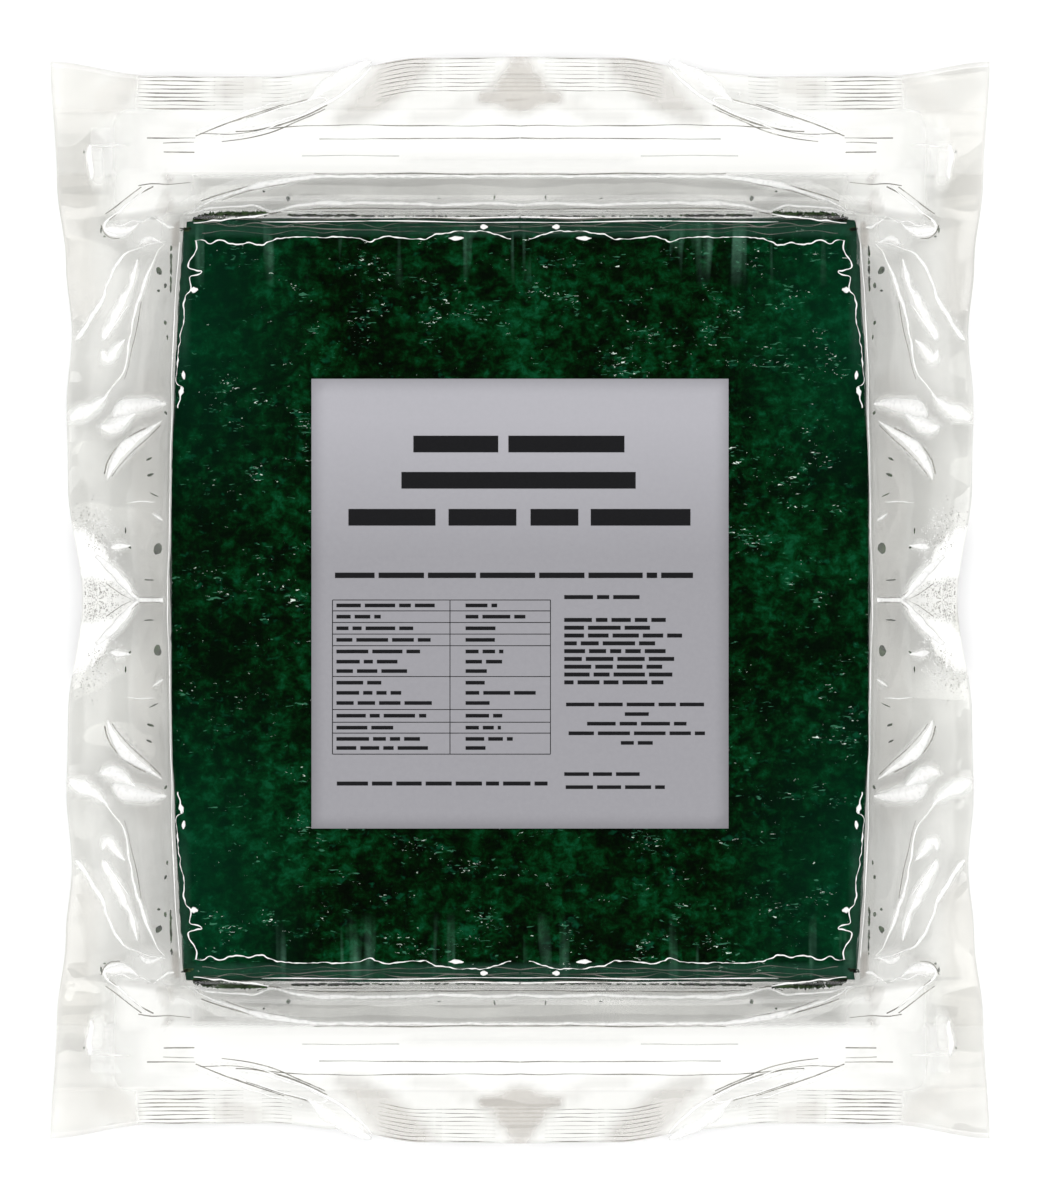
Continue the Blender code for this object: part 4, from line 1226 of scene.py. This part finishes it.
def makeLabel():
    bm = bmesh.new()
    bmesh.ops.create_grid(bm, x_segments=label["cells"], y_segments=label["cells"], size=1)
    for vert in bm.verts:
        x = vert.co.x * label["width"] / 2 + label["middle"][0]
        y = vert.co.y * label["length"] / 2 + label["middle"][1]
        vert.co = (x * mm, y * mm, labelHeight(x, y) * mm)
    piece = addPiece(bm, "labelSheet", paper, ["label"])
    thicken(piece, "paperWall", label["paper"], -1)


def addBar(bm, x0, x1, y, tall):
    # one printed bar, from x0 to x1, centred on y
    made = bmesh.ops.create_cube(bm, size=1)
    for vert in made["verts"]:
        x = x0 if vert.co.x < 0 else x1
        barY = y + vert.co.y * tall
        z = labelHeight(x, barY) + label["ink"][vert.co.z > 0]
        vert.co = (x * mm, barY * mm, z * mm)


# printed lines, millimetres from the pack's middle: start, end, height up the label, bar height
headings = [
    (-29.4, -6.0, 43.0, 4.6), (-3.2, 28.8, 43.0, 4.6), (-32.7, 31.9, 33.0, 4.6),
    (-47.3, -23.3, 22.8, 4.6), (-19.7, -1.0, 22.8, 4.6), (2.9, 16.1, 22.8, 4.6), (19.5, 47.0, 22.8, 4.6),
]
ruled = {"left": -51.7, "right": 8.4, "divider": -19.3,
         "lines": [0, -3.0, -6.2, -9.4, -12.6, -21.1, -30.2, -33.7, -36.7, -42.5]}


def makePrint():
    bm = bmesh.new()
    for x0, x1, y, tall in headings:
        addBar(bm, x0, x1, y, tall)
    words = random.Random(5)

    def textLine(x0, x1, y, tall, longest=9.0):
        x = x0
        while x < x1:
            end = min(x + words.uniform(2.5, longest), x1)
            if end - x > 0.8:
                addBar(bm, x, end, y, tall)
            x = end + 1.1

    textLine(-51, 48.3, 6.8, 1.5, 16)
    for y in ruled["lines"]:
        addBar(bm, ruled["left"], ruled["right"], y, 0.22)
    for x in (ruled["left"], ruled["divider"], ruled["right"]):
        top, bottom = ruled["lines"][0], ruled["lines"][-1]
        addBar(bm, x - 0.11, x + 0.11, (top + bottom) / 2, top - bottom)
    rows = [-1.5, -4.6, -7.8, -11.0, -14.2, -17.0, -19.6, -22.8, -25.6, -28.4, -31.9, -35.2, -38.3, -40.8]
    for y in rows:
        textLine(-50.6, -50.6 + words.uniform(12, 28), y, 1.0)
        textLine(-15, -15 + words.uniform(5, 20), y, 1.0)
    textLine(12.2, 34.8, 0.8, 1.1)
    for i in range(9):
        textLine(12.2, words.uniform(32, 45), -5.5 - 2.15 * i, 1.1)
    for i, half in enumerate((19.5, 3.3, 13.7, 18.8, 4.4)):
        textLine(32.2 - half, 32.2 + half, -28.8 - 2.65 * i, 1.0)
    textLine(-50.5, 7.6, -50.6, 1.1)
    textLine(12.2, 33.0, -48, 1.0)
    textLine(12.6, 40.5, -51.6, 1.0)
    addPiece(bm, "labelPrint", ink, smooth=False)


makeLabel()
makePrint()
print("label made")


# light, floor and camera
sky = {
    # tone of the sky by height, 1 being straight up
    "tones": [(0.0, "#6c6c6c"), (0.40, "#7c7c7c"), (0.64, "#ffffff"), (0.90, "#ffffff"), (0.955, "#686868"),
              (0.985, "#000000")],
    "strength": 1.36,
    # soft windows over both ends and both sides, by the tangent of the angle from straight up: over which
    # stretch each starts, over which it ends, and over which it fades sideways
    "end": {"near": (0.1075, 0.111), "far": (0.40, 0.60), "half": (0.16, 0.34), "radiance": 2.6},
    "side": {"near": (0.26, 0.34), "far": (0.40, 0.50), "half": (0.1, 0.3), "radiance": 0.7},
}


def windowGlow(tree, through, across, window):
    # one soft window, and its twin on the other side
    glow = None
    edges = [
        (through, window["near"], False), (through, window["far"], True), (across, window["half"], True)]
    for place, (start, end), falling in edges:
        edge = addNode(tree, "MapRange", {
            "Value": place, "From Min": start, "From Max": end,
            "To Min": float(falling), "To Max": float(not falling)}, interpolation_type="SMOOTHSTEP")
        glow = edge if glow is None else addNode(tree, "Math", {0: glow, 1: edge}, operation="MULTIPLY")
    return addNode(tree, "Math", {0: glow, 1: window["radiance"]}, operation="MULTIPLY")


def makeWorld():
    # a pale, even studio with soft windows, dark straight above so that flat film on the sheets stays clear
    world = bpy.data.worlds.new("studioWindows")
    bpy.context.scene.world = world
    world.use_nodes = True
    tree = world.node_tree
    tree.nodes.clear()
    coords = addNode(tree, "TexCoord")
    split = addNode(tree, "SeparateXYZ", {0: coords.outputs["Generated"]})
    up = addNode(tree, "Math", {0: split.outputs["Z"], 1: 0.01}, operation="MAXIMUM")
    tangents = []
    for axis in ("X", "Y"):
        size = addNode(tree, "Math", {0: split.outputs[axis]}, operation="ABSOLUTE")
        tangents.append(addNode(tree, "Math", {0: size, 1: up}, operation="DIVIDE"))
    tone = addNode(tree, "ValToRGB", {"Fac": split.outputs["Z"]})
    setTones(tone.color_ramp, sky["tones"])
    total = addNode(tree, "VectorMath", {0: tone, "Scale": sky["strength"]}, operation="SCALE")
    for glow in (windowGlow(tree, tangents[1], tangents[0], sky["end"]),
                 windowGlow(tree, tangents[0], tangents[1], sky["side"])):
        total = addNode(tree, "VectorMath", {0: total, 1: glow}, operation="ADD")
    shade = addNode(tree, "Background", {"Color": total, "Strength": 1.0})
    addNode(tree, "OutputWorld", {"Surface": shade})


def makeFloor():
    bm = bmesh.new()
    bmesh.ops.create_grid(bm, x_segments=1, y_segments=1, size=6.0)
    mesh = bpy.data.meshes.new("floor")
    bm.to_mesh(mesh)
    bm.free()
    floor = bpy.data.objects.new("floor", mesh)
    made, tree = newMaterial("floorWhiteCard")
    shader = addNode(tree, "BsdfDiffuse", {"Color": linear("#fafafa")})
    addNode(tree, "OutputMaterial", {"Surface": shader})
    mesh.materials.append(made)
    bpy.context.scene.collection.objects.link(floor)


camera = {"height": 1.1, "lens": 116.5, "sensor": 36}


def makeCamera():
    data = bpy.data.cameras.new("camera")
    data.lens = camera["lens"]
    data.sensor_width = camera["sensor"]
    data.clip_start = 0.01
    made = bpy.data.objects.new("camera", data)
    made.location = (0, 0, camera["height"])
    bpy.context.scene.collection.objects.link(made)
    bpy.context.scene.camera = made


makeWorld()
makeFloor()
makeCamera()
bpy.context.scene.view_settings.view_transform = "Standard"
# the film's layers need many clear passes, and little else
passes = {"max_bounces": 4, "diffuse_bounces": 1, "glossy_bounces": 2, "transparent_max_bounces": 32}
for name, count in passes.items():
    setattr(bpy.context.scene.cycles, name, count)
print("light and camera made")
